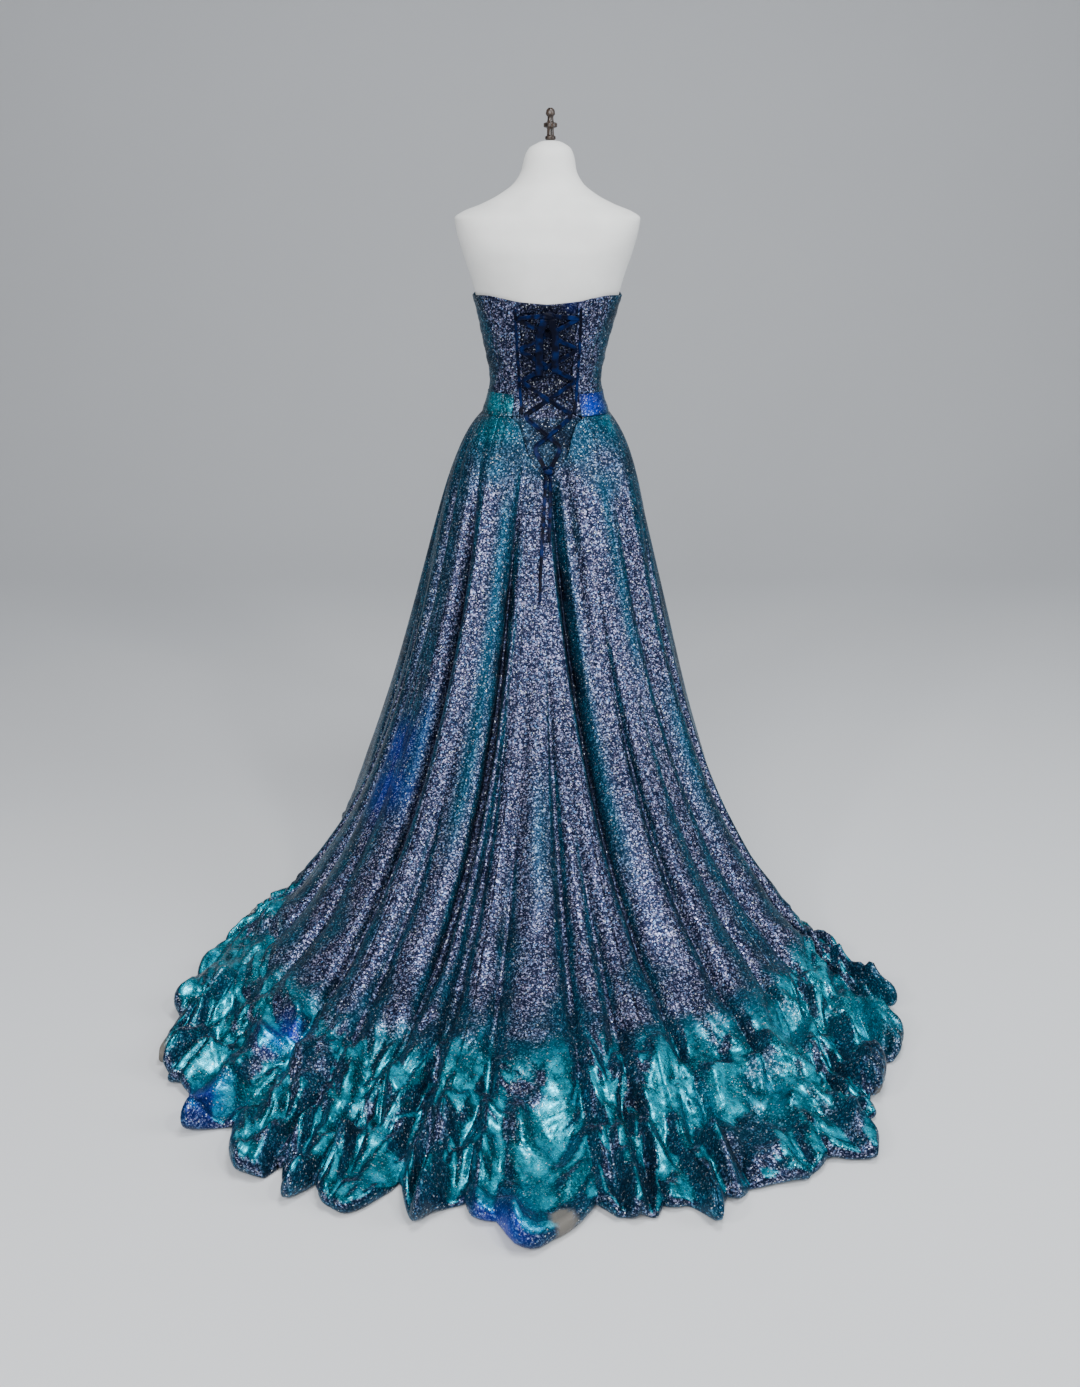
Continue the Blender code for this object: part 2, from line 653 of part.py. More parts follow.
def add_ribbon(name, path, side, width, wall, look, collection):
    """A flat ribbon along a path. side points across it."""
    along = np.gradient(path, axis=0)
    along = along / np.linalg.norm(along, axis=1, keepdims=True)
    across = side - along * np.sum(side * along, axis=1, keepdims=True)
    across = across / np.linalg.norm(across, axis=1, keepdims=True)
    out = np.cross(across, along)
    grid = np.stack([path + across * width / 2, path - across * width / 2], axis=1)
    return add_shell(name, grid, np.stack([out, out], axis=1), wall, look, collection)


def rounded(corners, cut, points=5):
    """A zigzag with its corners rounded off."""
    path = [corners[0]]
    for before, corner, after in zip(corners, corners[1:], corners[2:]):
        first = corner + (before - corner) / np.linalg.norm(before - corner) * cut
        last = corner + (after - corner) / np.linalg.norm(after - corner) * cut
        for u in np.linspace(0, 1, points):
            path.append((1 - u) ** 2 * first + 2 * u * (1 - u) * corner + u**2 * last)
    path.append(corners[-1])
    return np.array(path)


def filled(path, step):
    """The same path with points about a step apart."""
    far = np.concatenate([[0], np.cumsum(np.linalg.norm(np.diff(path, axis=0), axis=1))])
    at = np.linspace(0, far[-1], max(2, round(far[-1] / step) + 1))
    return np.column_stack([np.interp(at, far, path[:, k]) for k in range(path.shape[1])])


def lace_path(starts_left):
    """The corners of one lace, from the top row to the V, in distance across and height."""
    corners = []
    for i, (z, left, right) in enumerate(LACE_ROWS):
        on_left = (i % 2 == 0) == starts_left
        corners.append((left if on_left else right, z))
    corners.append((KNOT_X - 0.006 if starts_left else KNOT_X + 0.006, LACE_END_Z))
    return filled(rounded(np.array(corners), LACE_TURN), 0.011)


def add_lacing(look, collection):
    """Two laces crossing from edge to edge, the tapes that hold them, and the ribbons to the bow."""
    for name, starts_left, over in (("lace_over", True, 1.0), ("lace_under", False, 0.0)):
        path = lace_path(starts_left)
        middle = (path[:, 0] - KNOT_X) / LACE_OVER_SPREAD
        lift = LACE_LIFT + over * LACE_OVER * np.exp(-(middle**2))
        points, out = back_point(path[:, 0], path[:, 1], lift)
        along = np.gradient(points, axis=0)
        side = np.cross(out, along)
        add_ribbon(name, points, side, LACE_WIDTH, RIBBON, look, collection)
    for name, edge, sign in (("lace_top_left", 1, -1), ("lace_top_right", 2, 1)):
        x = np.linspace(LACE_ROWS[0][edge], KNOT_X + sign * (KNOT_SIZE[0] / 2 + LACE_TOP_END), 7)
        z = np.linspace(LACE_ROWS[0][0], KNOT_Z, 7)
        lift = np.linspace(LACE_LIFT + RIBBON + SEAM_GAP, KNOT_LIFT, 7)
        points, out = back_point(x, z, lift)
        side = np.cross(out, np.gradient(points, axis=0))
        add_ribbon(name, points, side, LACE_WIDTH, RIBBON, look, collection)
    for name, edge, sign in (("loop_tape_left", "left", -1), ("loop_tape_right", "right", 1)):
        z = np.linspace(LACE_ROWS[0][0] + 0.02, BODICE_BOTTOM + 0.004, 12)
        rows = column(LACE_ROWS, LACE_COLUMNS, "z")[::-1]
        x = smooth(z, rows, column(LACE_ROWS, LACE_COLUMNS, edge)[::-1]) + sign * TAPE_OUTSIDE
        points, out = back_point(x, z, TAPE_LIFT)
        side = np.cross(out, np.gradient(points, axis=0))
        add_ribbon(name, points, side, TAPE_WIDTH, RIBBON, look, collection)


def add_knot(name, x, z, size, lift, look, collection):
    """A small rounded knot of ribbon."""
    centre, out = back_point(np.array(x), np.array(z), lift)
    shape = bmesh.new()
    bmesh.ops.create_cube(shape, size=1.0)
    for vertex in shape.verts:
        vertex.co = [vertex.co[k] * size[k] for k in range(3)]
    mesh = bpy.data.meshes.new(name)
    shape.to_mesh(mesh)
    shape.free()
    mesh.materials.append(look)
    made = bpy.data.objects.new(name, mesh)
    collection.objects.link(made)
    made.location = centre
    made.rotation_euler[2] = math.atan2(out[1], out[0]) + math.pi / 2
    soft = made.modifiers.new("rounded", "BEVEL")
    soft.width = 0.35 * min(size)
    soft.segments = 2
    return made


def add_tail(name, rows, look, collection):
    """A free end of the lace, as a round cord through the table's points."""
    heights = column(rows, TAIL_COLUMNS, "z")[::-1]
    steps = round((heights[-1] - heights[0]) / TAIL_STEP) + 1
    z = np.linspace(heights[-1], heights[0], steps)
    x = smooth(z, heights, column(rows, TAIL_COLUMNS, "x")[::-1])
    y = smooth(z, heights, column(rows, TAIL_COLUMNS, "y")[::-1])
    curve = bpy.data.curves.new(name, "CURVE")
    curve.dimensions = "3D"
    curve.bevel_depth = TAIL_RADIUS
    curve.bevel_resolution = 2
    curve.use_fill_caps = True
    spline = curve.splines.new("POLY")
    spline.points.add(steps - 1)
    for point, place in zip(spline.points, np.column_stack([x, y, z])):
        point.co = (*place, 1.0)
    curve.materials.append(look)
    made = bpy.data.objects.new(name, curve)
    collection.objects.link(made)
    return made


def add_lace_ends(look, collection):
    """The knot where the laces meet in the V, and the two ends that hang from it."""
    add_knot(
        "lower_knot", KNOT_X, LOWER_KNOT_Z, LOWER_KNOT_SIZE, LOWER_KNOT_LIFT, look, collection
    )
    add_tail("lace_tail_long", TAIL_LONG, look, collection)
    add_tail("lace_tail_short", TAIL_SHORT, look, collection)


def add_bow(look, collection):
    """The bow at the top of the lacing: a knot and two hanging loops."""
    add_knot("bow_knot", KNOT_X, KNOT_Z, KNOT_SIZE, KNOT_LIFT, look, collection)
    top = KNOT_Z - KNOT_SIZE[2] / 2 - SEAM_GAP
    for name, x, low, width in BOW_LOOPS:
        turn = 0.003
        down = np.concatenate([[top], np.linspace(top - BOW_STRAIGHT, low + turn, 7)])
        start = KNOT_X + (width / 2 + SEAM_GAP) * (1 if x > KNOT_X else -1)
        ease_out = ease((top - BOW_STRAIGHT - down) / 0.03)
        xs = start + (x - start) * ease_out
        near = np.column_stack([xs, down, np.full(8, BOW_LIFT - turn)])
        angles = np.radians([-60, -20, 20, 60])
        bend = np.column_stack(
            [
                np.full(4, x),
                low + turn - turn * np.cos(angles),
                BOW_LIFT + turn * np.sin(angles),
            ]
        )
        back = near[::-1].copy()
        back[:, 2] = BOW_LIFT + turn
        route = np.concatenate([near, bend, back])
        points, out = back_point(route[:, 0], route[:, 1], route[:, 2])
        side = np.cross(out, np.array([0.0, 0.0, 1.0]))
        add_ribbon(name, points, side, width, RIBBON, look, collection)


def add_turned(name, profile, look, collection, place, sides):
    """A turned shape: a profile of height and radius on a Screw modifier."""
    points = [(0.0, 0.0, profile[0][0])]
    points += [(radius, 0.0, z) for z, radius in profile]
    points += [(0.0, 0.0, profile[-1][0])]
    points.reverse()
    mesh = bpy.data.meshes.new(name)
    mesh.from_pydata(points, [(i, i + 1) for i in range(len(points) - 1)], [])
    mesh.materials.append(look)
    made = bpy.data.objects.new(name, mesh)
    collection.objects.link(made)
    made.location = place
    turn = made.modifiers.new("turned", "SCREW")
    turn.steps = sides
    turn.render_steps = sides
    turn.use_merge_vertices = True
    turn.merge_threshold = 0.00005
    return made


def add_form(look, collection):
    """The dress form: rings at each height, closed at its base and over its neck."""
    heights = column(FORM, FORM_COLUMNS, "z")
    between = (heights[:-1] + heights[1:]) / 2
    wanted = between[np.diff(heights) > 0.05]
    z = np.sort(np.concatenate([heights, wanted]))
    angle = np.linspace(0, 2 * math.pi, FORM_SIDES, endpoint=False)
    rings = form_point(angle[None, :] + 0 * z[:, None], z[:, None] + 0 * angle[None, :])
    count = len(z)
    points = list(rings.reshape(-1, 3))
    index = np.arange(count * FORM_SIDES).reshape(count, FORM_SIDES)
    right = np.roll(index, -1, axis=1)
    faces = list(
        np.column_stack(
            [index[:-1].ravel(), right[:-1].ravel(), right[1:].ravel(), index[1:].ravel()]
        )
    )
    points.append(np.array(neck_top()))
    points.append(np.array([0.0, 0.0, FORM_BOTTOM]))
    crown, foot = len(points) - 2, len(points) - 1
    faces += [(index[-1, i], right[-1, i], crown) for i in range(FORM_SIDES)]
    faces += [(right[0, i], index[0, i], foot) for i in range(FORM_SIDES)]
    made = add_mesh("form_torso", points, faces, look, collection)
    for face in made.data.polygons:
        face.use_smooth = True
    return made


def add_stand(wood, metal, collection):
    """The turned finial on the neck, and the pole and round base that hold the form up."""
    add_turned("form_finial", FINIAL, wood, collection, neck_top(), 12)
    pole = ((BASE_HEIGHT + SEAM_GAP, POLE_RADIUS), (FORM_BOTTOM - SEAM_GAP, POLE_RADIUS))
    add_turned("stand_pole", pole, metal, collection, (0.0, POLE_Y, 0.0), 16)
    rim = 0.003
    base = (
        (0.0, BASE_RADIUS - rim),
        (rim, BASE_RADIUS),
        (BASE_HEIGHT - rim, BASE_RADIUS),
        (BASE_HEIGHT, BASE_RADIUS - rim),
    )
    add_turned("stand_base", base, metal, collection, (0.0, 0.0, 0.0), 32)


def build():
    for old in list(bpy.data.objects):
        bpy.data.objects.remove(old, do_unlink=True)
    collection = bpy.data.collections.new("prom_dress")
    bpy.context.scene.collection.children.link(collection)
    glitter = material("glitter_cloth", (0.10, 0.17, 0.26), 0.35, 0.6)
    band = material("waistband_cloth", (0.02, 0.25, 0.36), 0.3, 0.6)
    modesty = material("modesty_cloth", (0.03, 0.06, 0.14), 0.4, 0.5)
    satin = material("navy_satin", (0.006, 0.012, 0.05), 0.3, 0.0, 0.4)
    jersey = material("white_jersey", (0.80, 0.80, 0.80), 0.75)
    wood = material("dark_wood", (0.035, 0.022, 0.016), 0.35)
    metal = material("stand_metal", (0.05, 0.05, 0.055), 0.35, 0.9)
    add_form(jersey, collection)
    add_stand(wood, metal, collection)
    add_bodice(glitter, collection)
    add_band(band, collection)
    add_modesty_panel(modesty, collection)
    add_skirt(glitter, collection)
    add_lacing(satin, collection)
    add_bow(satin, collection)
    add_lace_ends(satin, collection)


if __name__ == "__main__":
    build()
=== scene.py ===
# The looks of a strapless prom dress with a laced back and a long train, on a dress form.
# Metres, +Z up, the back of the dress faces -Y. Every piece stands for its CAD node.
import math

import bpy
import numpy as np
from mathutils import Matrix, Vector


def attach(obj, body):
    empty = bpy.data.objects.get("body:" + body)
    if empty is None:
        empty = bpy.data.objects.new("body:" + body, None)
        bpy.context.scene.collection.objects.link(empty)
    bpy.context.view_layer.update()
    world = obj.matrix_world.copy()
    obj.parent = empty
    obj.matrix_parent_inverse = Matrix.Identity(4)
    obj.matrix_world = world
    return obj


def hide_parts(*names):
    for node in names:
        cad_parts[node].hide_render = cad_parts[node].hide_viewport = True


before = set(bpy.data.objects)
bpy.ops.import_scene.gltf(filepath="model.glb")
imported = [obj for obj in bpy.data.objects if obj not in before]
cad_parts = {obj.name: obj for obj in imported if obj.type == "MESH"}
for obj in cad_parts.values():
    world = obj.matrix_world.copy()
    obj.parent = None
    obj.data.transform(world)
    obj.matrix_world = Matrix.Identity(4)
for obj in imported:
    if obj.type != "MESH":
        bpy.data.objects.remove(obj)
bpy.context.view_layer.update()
print("frame loaded:", len(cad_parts), "nodes")


# Camera: the photograph's place behind the dress, level with the bodice
cameraValues = {
    "place": (0.0, -3.1, 1.5),
    "aimHeight": 0.3902,
    "lens": 36.795,
    "shiftX": -0.00397,
    "sensor": 36.0,
    "clip": (0.1, 40.0),
}


def addObject(name, data):
    # An object in the scene from its mesh, camera or light.
    made = bpy.data.objects.new(name, data)
    bpy.context.scene.collection.objects.link(made)
    return made


def aimAt(made, place, aim):
    # Puts a camera or light at its place, looking at the aim.
    made.location = place
    made.rotation_euler = (Vector(aim) - Vector(place)).to_track_quat("-Z", "Y").to_euler()


def addCamera():
    # The camera looks from its place at a point on the axis.
    data = bpy.data.cameras.new("camera")
    camera = addObject("camera", data)
    aimAt(camera, cameraValues["place"], (0.0, 0.0, cameraValues["aimHeight"]))
    data.sensor_width = cameraValues["sensor"]
    data.lens = cameraValues["lens"]
    data.shift_x = cameraValues["shiftX"]
    data.clip_start, data.clip_end = cameraValues["clip"]
    bpy.context.scene.camera = camera


addCamera()


# Curves and tables
def column(rows, names, name):
    # One named column of a table.
    place = names.index(name)
    return np.array([row[place] for row in rows], float)


def ease(x):
    # From 0 to 1 with level ends: 3x squared less 2x cubed.
    x = np.clip(x, 0, 1)
    return x * x * (3 - 2 * x)


def rise(x, span):
    # The ease of x from the span's first number, over its second.
    return ease((x - span[0]) / span[1])


def within(x, spans):
    # Rises over the first span and falls over the second.
    return rise(x, spans[0]) * (1 - rise(x, spans[1]))


def named(table):
    # The rows of a table, each with its columns' names.
    return [dict(zip(table["columns"], row)) for row in table["rows"]]


def smoothCurve(x, xs, ys):
    # A curve through a table's points that never swings past them (monotone cubic Hermite).
    x = np.clip(x, xs[0], xs[-1])
    step = np.diff(xs)
    slope = np.diff(ys) / step
    ends = np.zeros(len(xs))
    same = slope[:-1] * slope[1:] > 0
    mean = 2 * slope[:-1] * slope[1:] / np.where(same, slope[:-1] + slope[1:], 1)
    ends[1:-1] = np.where(same, mean, 0)
    ends[0] = slope[0]
    ends[-1] = slope[-1]
    i = np.clip(np.searchsorted(xs, x, side="right") - 1, 0, len(xs) - 2)
    u = (x - xs[i]) / step[i]
    start = (1 + 2 * u) * (1 - u) ** 2 * ys[i] + u * (1 - u) ** 2 * step[i] * ends[i]
    end = u**2 * (3 - 2 * u) * ys[i + 1] - u**2 * (1 - u) * step[i] * ends[i + 1]
    return start + end


def tableCurve(x, rows, names, name):
    # The smooth curve of one column of a table over its first column.
    return smoothCurve(x, column(rows, names, names[0]), column(rows, names, name))


def aroundFolds(s, values, turn=0.0):
    # A smooth closed curve through one value for each valley (Catmull-Rom).
    count = len(values)
    base = np.floor(s).astype(int)
    u = s - base

    def at(k):
        return values[k % count] + turn * (k // count)

    a, b, c, d = at(base - 1), at(base), at(base + 1), at(base + 2)
    return b + 0.5 * u * (c - a + u * (2 * a - 5 * b + 4 * c - d + u * (3 * (b - c) + d - a)))


def unit(ways):
    # The same directions, one long.
    return ways / np.maximum(np.linalg.norm(ways, axis=-1, keepdims=True), 1e-12)


def triangle(turns):
    # A triangle wave between -1 and 1, one wave for each whole turn.
    return 2 / math.pi * np.arcsin(np.sin(2 * math.pi * turns))


def ripple(x, y, waves, folded=False):
    # The sum of sine or triangle waves given as (length, degrees, phase, height).
    total = np.zeros(np.broadcast(x, y).shape)
    for length, degrees, phase, height in waves:
        angle = math.radians(degrees)
        turns = (x * math.cos(angle) + y * math.sin(angle)) / length + phase / (2 * math.pi)
        total = total + height * (triangle(turns) if folded else np.sin(2 * math.pi * turns))
    return total


def crumple(x, y, layers):
    # Flat facets between sharp ridges: a triangle wave bent by a second one, bent by a third.
    total = np.zeros(np.broadcast(x, y).shape)
    for size, degrees, phase, height in layers:
        angle = math.radians(degrees)
        u = (x * math.cos(angle) + y * math.sin(angle)) / size
        v = (y * math.cos(angle) - x * math.sin(angle)) / size
        first = triangle(0.8 * u + 0.35 * v + phase)
        second = triangle(0.7 * v - 0.3 * u + 0.30 * first + 2 * phase)
        third = triangle(u - 0.4 * v + 0.26 * second + 0.18 * first + 3 * phase)
        total = total + height * (0.65 * third + 0.35 * second)
    return total


# The dress form: half width, how far its back and front lie from the centre, how square it is
form = {
    "columns": ("z", "halfWidth", "back", "front", "centreX", "centreY", "power"),
    "rows": (
        (0.780, 0.160, 0.118, 0.112, 0.0, 0.0, 2.2),
        (0.860, 0.166, 0.122, 0.114, 0.0, 0.0, 2.2),
        (0.930, 0.162, 0.119, 0.112, 0.0, 0.0, 2.2),
        (0.985, 0.147, 0.106, 0.104, 0.0, 0.0, 2.2),
        (1.041, 0.1275, 0.090, 0.096, 0.0, 0.0, 2.2),
        (1.080, 0.1155, 0.082, 0.090, 0.0, 0.0, 2.2),
        (1.120, 0.1130, 0.080, 0.088, 0.0, 0.0, 2.2),
        (1.160, 0.1205, 0.086, 0.094, 0.0, 0.0, 2.2),
        (1.215, 0.1325, 0.096, 0.104, 0.0015, 0.0, 2.2),
        (1.270, 0.1470, 0.106, 0.104, 0.0035, 0.0, 2.2),
        (1.315, 0.1585, 0.112, 0.096, 0.0040, 0.0, 2.3),
        (1.366, 0.1755, 0.114, 0.086, 0.0040, 0.0, 2.5),
        (1.415, 0.1890, 0.104, 0.076, 0.0040, 0.0, 2.7),
        (1.438, 0.1920, 0.096, 0.068, 0.0040, 0.0, 2.6),
        (1.451, 0.1740, 0.088, 0.064, 0.0040, 0.0, 2.3),
        (1.464, 0.1400, 0.078, 0.062, 0.0045, 0.002, 2.1),
        (1.484, 0.1000, 0.066, 0.058, 0.0050, 0.006, 2.0),
        (1.506, 0.0710, 0.055, 0.054, 0.0060, 0.011, 2.0),
        (1.530, 0.0570, 0.052, 0.052, 0.0070, 0.015, 2.0),
        (1.553, 0.0520, 0.050, 0.050, 0.0080, 0.017, 2.0),
        (1.573, 0.0430, 0.042, 0.042, 0.0090, 0.017, 2.0),
        (1.584, 0.0250, 0.025, 0.025, 0.0100, 0.017, 2.0),
    ),
    "bustHeight": 0.030,
    "bustX": 0.078,
    "bustZ": 1.218,
    "bustWide": 0.050,
    "bustTall": 0.052,
    "bustFrom": 0.06,
    "bottom": 0.780,
    "top": 1.5838,
    "footRise": 0.002,
    "rings": 220,
    "sides": 120,
    "cap": ((0.75, 0.0022), (0.4, 0.0038)),
    "sole": (0.5, 0.97),
    "meanRadius": 0.12,
    "searchSteps": 12,
    "searchRadius": 0.11,
    "searchTurn": 0.02,
}


def formSection(z, name):
    # One column of the form's table at this height.
    return tableCurve(z, form["rows"], form["columns"], name)


def formPoint(angle, z, lift=0.0):
    # A superellipse at each height with the bust added, moved outwards by the lift.
    across = formSection(z, "halfWidth")
    deep = np.where(np.sin(angle) < 0, formSection(z, "back"), formSection(z, "front"))
    power = formSection(z, "power")
    radius = np.abs(np.cos(angle) / across) ** power + np.abs(np.sin(angle) / deep) ** power
    radius = radius ** (-1 / power)
    x = radius * np.cos(angle)
    y = radius * np.sin(angle)
    side = ((np.abs(x) - form["bustX"]) / form["bustWide"]) ** 2
    side = side + ((z - form["bustZ"]) / form["bustTall"]) ** 2
    y = y + np.where(y > 0, form["bustHeight"] * np.exp(-side) * ease(y / form["bustFrom"]), 0)
    grow = 1 + lift / np.hypot(x, y)
    x = x * grow + formSection(z, "centreX")
    return np.stack([x, y * grow + formSection(z, "centreY"), z + 0 * x], -1)


def fromBack(degrees):
    # Degrees round from the centre back towards the wearer's left, as an angle from +X.
    return np.radians(-90.0 - degrees)


def backPoint(x, z, lift):
    # The point of the form's back at this distance from the middle, and the way out of it.
    angle = np.full(np.shape(x), -math.pi / 2)
    for _ in range(form["searchSteps"]):
        found = formPoint(angle, z, lift)
        angle = angle + (x - found[..., 0]) / form["searchRadius"]
    turn = form["searchTurn"]
    near = formPoint(angle + turn, z, lift) - formPoint(angle - turn, z, lift)
    out = np.stack([near[..., 1], -near[..., 0], 0 * near[..., 0]], -1)
    return formPoint(angle, z, lift), unit(out)


# Meshes
def gridNormals(grid):
    # The way out of a grid of points: the cross product of its steps down and across.
    down = np.gradient(grid, axis=0)
    across = np.gradient(grid, axis=1)
    return unit(np.cross(down, across))


def makeMesh(name, points, faceSets, looks, kinds=None):
    # A smooth-shaded mesh object from an array of points and arrays of faces.
    mesh = bpy.data.meshes.new(name)
    points = np.asarray(points, np.float32)
    corners = np.concatenate([faces.ravel() for faces in faceSets]).astype(np.int32)
    sizes = np.concatenate([np.full(len(faces), faces.shape[1]) for faces in faceSets])
    starts = np.concatenate([[0], np.cumsum(sizes)[:-1]]).astype(np.int32)
    mesh.vertices.add(len(points))
    mesh.vertices.foreach_set("co", points.ravel())
    mesh.loops.add(len(corners))
    mesh.loops.foreach_set("vertex_index", corners)
    mesh.polygons.add(len(sizes))
    mesh.polygons.foreach_set("loop_start", starts)
    mesh.polygons.foreach_set("use_smooth", np.ones(len(sizes), bool))
    for look in looks:
        mesh.materials.append(look)
    if kinds is not None:
        mesh.polygons.foreach_set("material_index", np.asarray(kinds, np.int32))
    mesh.update()
    mesh.validate()
    return addObject(name, mesh)


def addColours(made, name, values):
    # Three numbers a point, kept as a colour attribute for the materials.
    full = np.concatenate([values, np.ones((len(values), 1))], axis=1).astype(np.float32)
    made.data.attributes.new(name, "FLOAT_COLOR", "POINT").data.foreach_set("color", full.ravel())


def clothShell(name, grid, normals, wall, looks, tints=None):
    # A wall of cloth: the grid moved out and in by half the wall, closed round its four edges.
    rows, columns = grid.shape[:2]
    half = normals * wall / 2
    points = np.concatenate([(grid + half).reshape(-1, 3), (grid - half).reshape(-1, 3)])
    index = np.arange(rows * columns).reshape(rows, columns)
    a, b = index[:-1, :-1].ravel(), index[:-1, 1:].ravel()
    c, d = index[1:, 1:].ravel(), index[1:, :-1].ravel()
    under = rows * columns
    outer = np.column_stack([a, d, c, b])
    inner = np.column_stack([a, b, c, d]) + under
    edge = np.concatenate([index[0, :], index[1:, -1], index[-1, -2::-1], index[-2:0:-1, 0]])
    after = np.roll(edge, -1)
    rim = np.column_stack([edge, after, after + under, edge + under])
    kinds = np.concatenate([np.zeros(len(outer)), np.ones(len(inner)), np.zeros(len(rim))])
    made = makeMesh(name, points, [outer, inner, rim], looks, kinds if len(looks) > 1 else None)
    for tint, values in (tints or {}).items():
        flat = values.reshape(-1, 3)
        addColours(made, tint, np.concatenate([flat, flat]))
    return made


def ringSolid(name, rings, looks):
    # A closed body from rings of points, each end drawn together in its ring's middle.
    rows, columns = rings.shape[:2]
    points = np.concatenate([rings.reshape(-1, 3), [rings[-1].mean(0), rings[0].mean(0)]])
    index = np.arange(rows * columns).reshape(rows, columns)
    after = np.roll(index, -1, axis=1)
    corners = (index[:-1], after[:-1], after[1:], index[1:])
    walls = np.column_stack([corner.ravel() for corner in corners])
    crown, foot = rows * columns, rows * columns + 1
    ends = np.concatenate(
        [
            np.column_stack([index[-1], after[-1], np.full(columns, crown)]),
            np.column_stack([after[0], index[0], np.full(columns, foot)]),
        ]
    )
    return makeMesh(name, points, [walls, ends], looks)


def apartAtSeams(grid, gap):
    # Draws a piece's side columns in by half the seam's gap.
    grid = grid.copy()
    for side, inner in ((0, 1), (-1, -2)):
        grid[:, side] += unit(grid[:, inner] - grid[:, side]) * gap / 2
    return grid


def levelRows(normals, rows):
    # The ways out of a grid, made level in these rows so that their edges are cut level.
    normals = normals.copy()
    for row in rows:
        normals[row, :, 2] = 0
    return unit(normals)


def finish(made, node):
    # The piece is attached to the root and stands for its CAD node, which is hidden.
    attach(made, "root")
    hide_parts(node)


# Node materials
def newLook(name):
    # A material, its node tree and its shader.
    made = bpy.data.materials.new(name)
    made.use_nodes = True
    tree = made.node_tree
    return made, tree, tree.nodes["Principled BSDF"]


def addNode(tree, kind, settings=None, **inputs):
    # A node with its properties and its unlinked inputs set.
    node = tree.nodes.new(kind)
    for name, value in (settings or {}).items():
        setattr(node, name, value)
    for name, value in inputs.items():
        node.inputs[name].default_value = value
    return node


def feed(tree, socket, value):
    # Links another node's output to a socket, or sets the socket's own value.
    if isinstance(value, bpy.types.NodeSocket):
        tree.links.new(value, socket)
    elif isinstance(value, tuple):
        socket.default_value = (*value, 1.0)
    else:
        socket.default_value = value


def mixColours(tree, share, first, second):
    # A colour between two.
    node = addNode(tree, "ShaderNodeMix", {"data_type": "RGBA"})
    for place, value in ((0, share), (6, first), (7, second)):
        feed(tree, node.inputs[place], value)
    return node.outputs[2]


def mixNumbers(tree, share, first, second):
    # A number between two.
    node = addNode(tree, "ShaderNodeMix")
    for place, value in ((0, share), (2, first), (3, second)):
        feed(tree, node.inputs[place], value)
    return node.outputs[0]


def doMath(tree, operation, *values):
    # One sum of two or three values.
    node = addNode(tree, "ShaderNodeMath", {"operation": operation})
    for place, value in enumerate(values):
        feed(tree, node.inputs[place], value)
    return node.outputs[0]


def rangeOf(tree, value, low, high, newLow=0.0, newHigh=1.0):
    # The value eased from one range to another.
    node = addNode(tree, "ShaderNodeMapRange", {"interpolation_type": "SMOOTHSTEP"})
    for place, number in enumerate((value, low, high, newLow, newHigh)):
        feed(tree, node.inputs[place], number)
    return node.outputs[0]


def splitColour(tree, colour):
    # The three parts of a colour.
    split = addNode(tree, "ShaderNodeSeparateColor")
    tree.links.new(colour, split.inputs[0])
    return split.outputs


def attributeParts(tree, name):
    # The three parts of a piece's own colour attribute.
    read = addNode(tree, "ShaderNodeAttribute", {"attribute_name": name})
    return splitColour(tree, read.outputs["Color"])


def texture(tree, kind, drawn=None, **inputs):
    # A texture that reads the piece's Object coordinates, scaled along each axis where drawn.
    node = addNode(tree, "ShaderNodeTex" + kind, **inputs)
    place = addNode(tree, "ShaderNodeTexCoord").outputs["Object"]
    if drawn:
        mapping = addNode(tree, "ShaderNodeMapping")
        mapping.inputs["Scale"].default_value = drawn
        tree.links.new(place, mapping.inputs["Vector"])
        place = mapping.outputs["Vector"]
    tree.links.new(place, node.inputs["Vector"])
    return node


def addBump(tree, shader, height, strength, distance):
    bump = addNode(tree, "ShaderNodeBump", Strength=strength, Distance=distance)
    tree.links.new(height, bump.inputs["Height"])
    tree.links.new(bump.outputs["Normal"], shader.inputs["Normal"])


glitter = {
    "flakesPerMetre": 350.0,
    "smallFlakesPerMetre": 560.0,
    "roughness": 0.42,
    "cyanRoughness": 0.27,
    "metallic": 0.70,
    "cyanMetallic": 0.80,
    "specular": 0.20,
    "bump": (0.55, 0.0006),
    "rougher": 0.16,
    "smoother": 0.12,
    "flakePower": 11.0,
    "smallFlakePower": 13.0,
    "glintPower": 80.0,
    "bluePower": 2.0,
    "blueShare": 0.8,
    "flakesOffSheen": 0.55,
    "highlightNoiseScale": 34.0,
    "highlightNoiseDistortion": 1.6,
    "highlightNoiseRange": (0.36, 0.62),
    "highlightNoiseShare": (0.75, 0.35),
    "silverCloth": (0.004, 0.008, 0.032),
    "silverFlake": (0.62, 0.57, 0.86),
    "glint": (0.90, 0.95, 1.0),
    "liningColour": (0.15, 0.14, 0.125),
    "blueFlake": (0.10, 0.42, 0.90),
    "tealCloth": (0.0005, 0.032, 0.070),
    "tealFlake": (0.14, 0.50, 0.68),
    "cyanCloth": (0.0003, 0.060, 0.092),
    # A painted highlight: the bright cyan of low folds that face the light.
    "paintedHighlightCloth": (0.001, 0.600, 0.820),
    "cyanFlake": (0.10, 0.86, 1.0),
    # Near-black: the painted shade in the fold valleys, and darker mottling of the cloth.
    "deepCloth": (0.001, 0.002, 0.009),
    "deepFlake": (0.06, 0.08, 0.20),
    "royalCloth": (0.001, 0.022, 0.370),
    "royalFlake": (0.05, 0.18, 0.85),
}


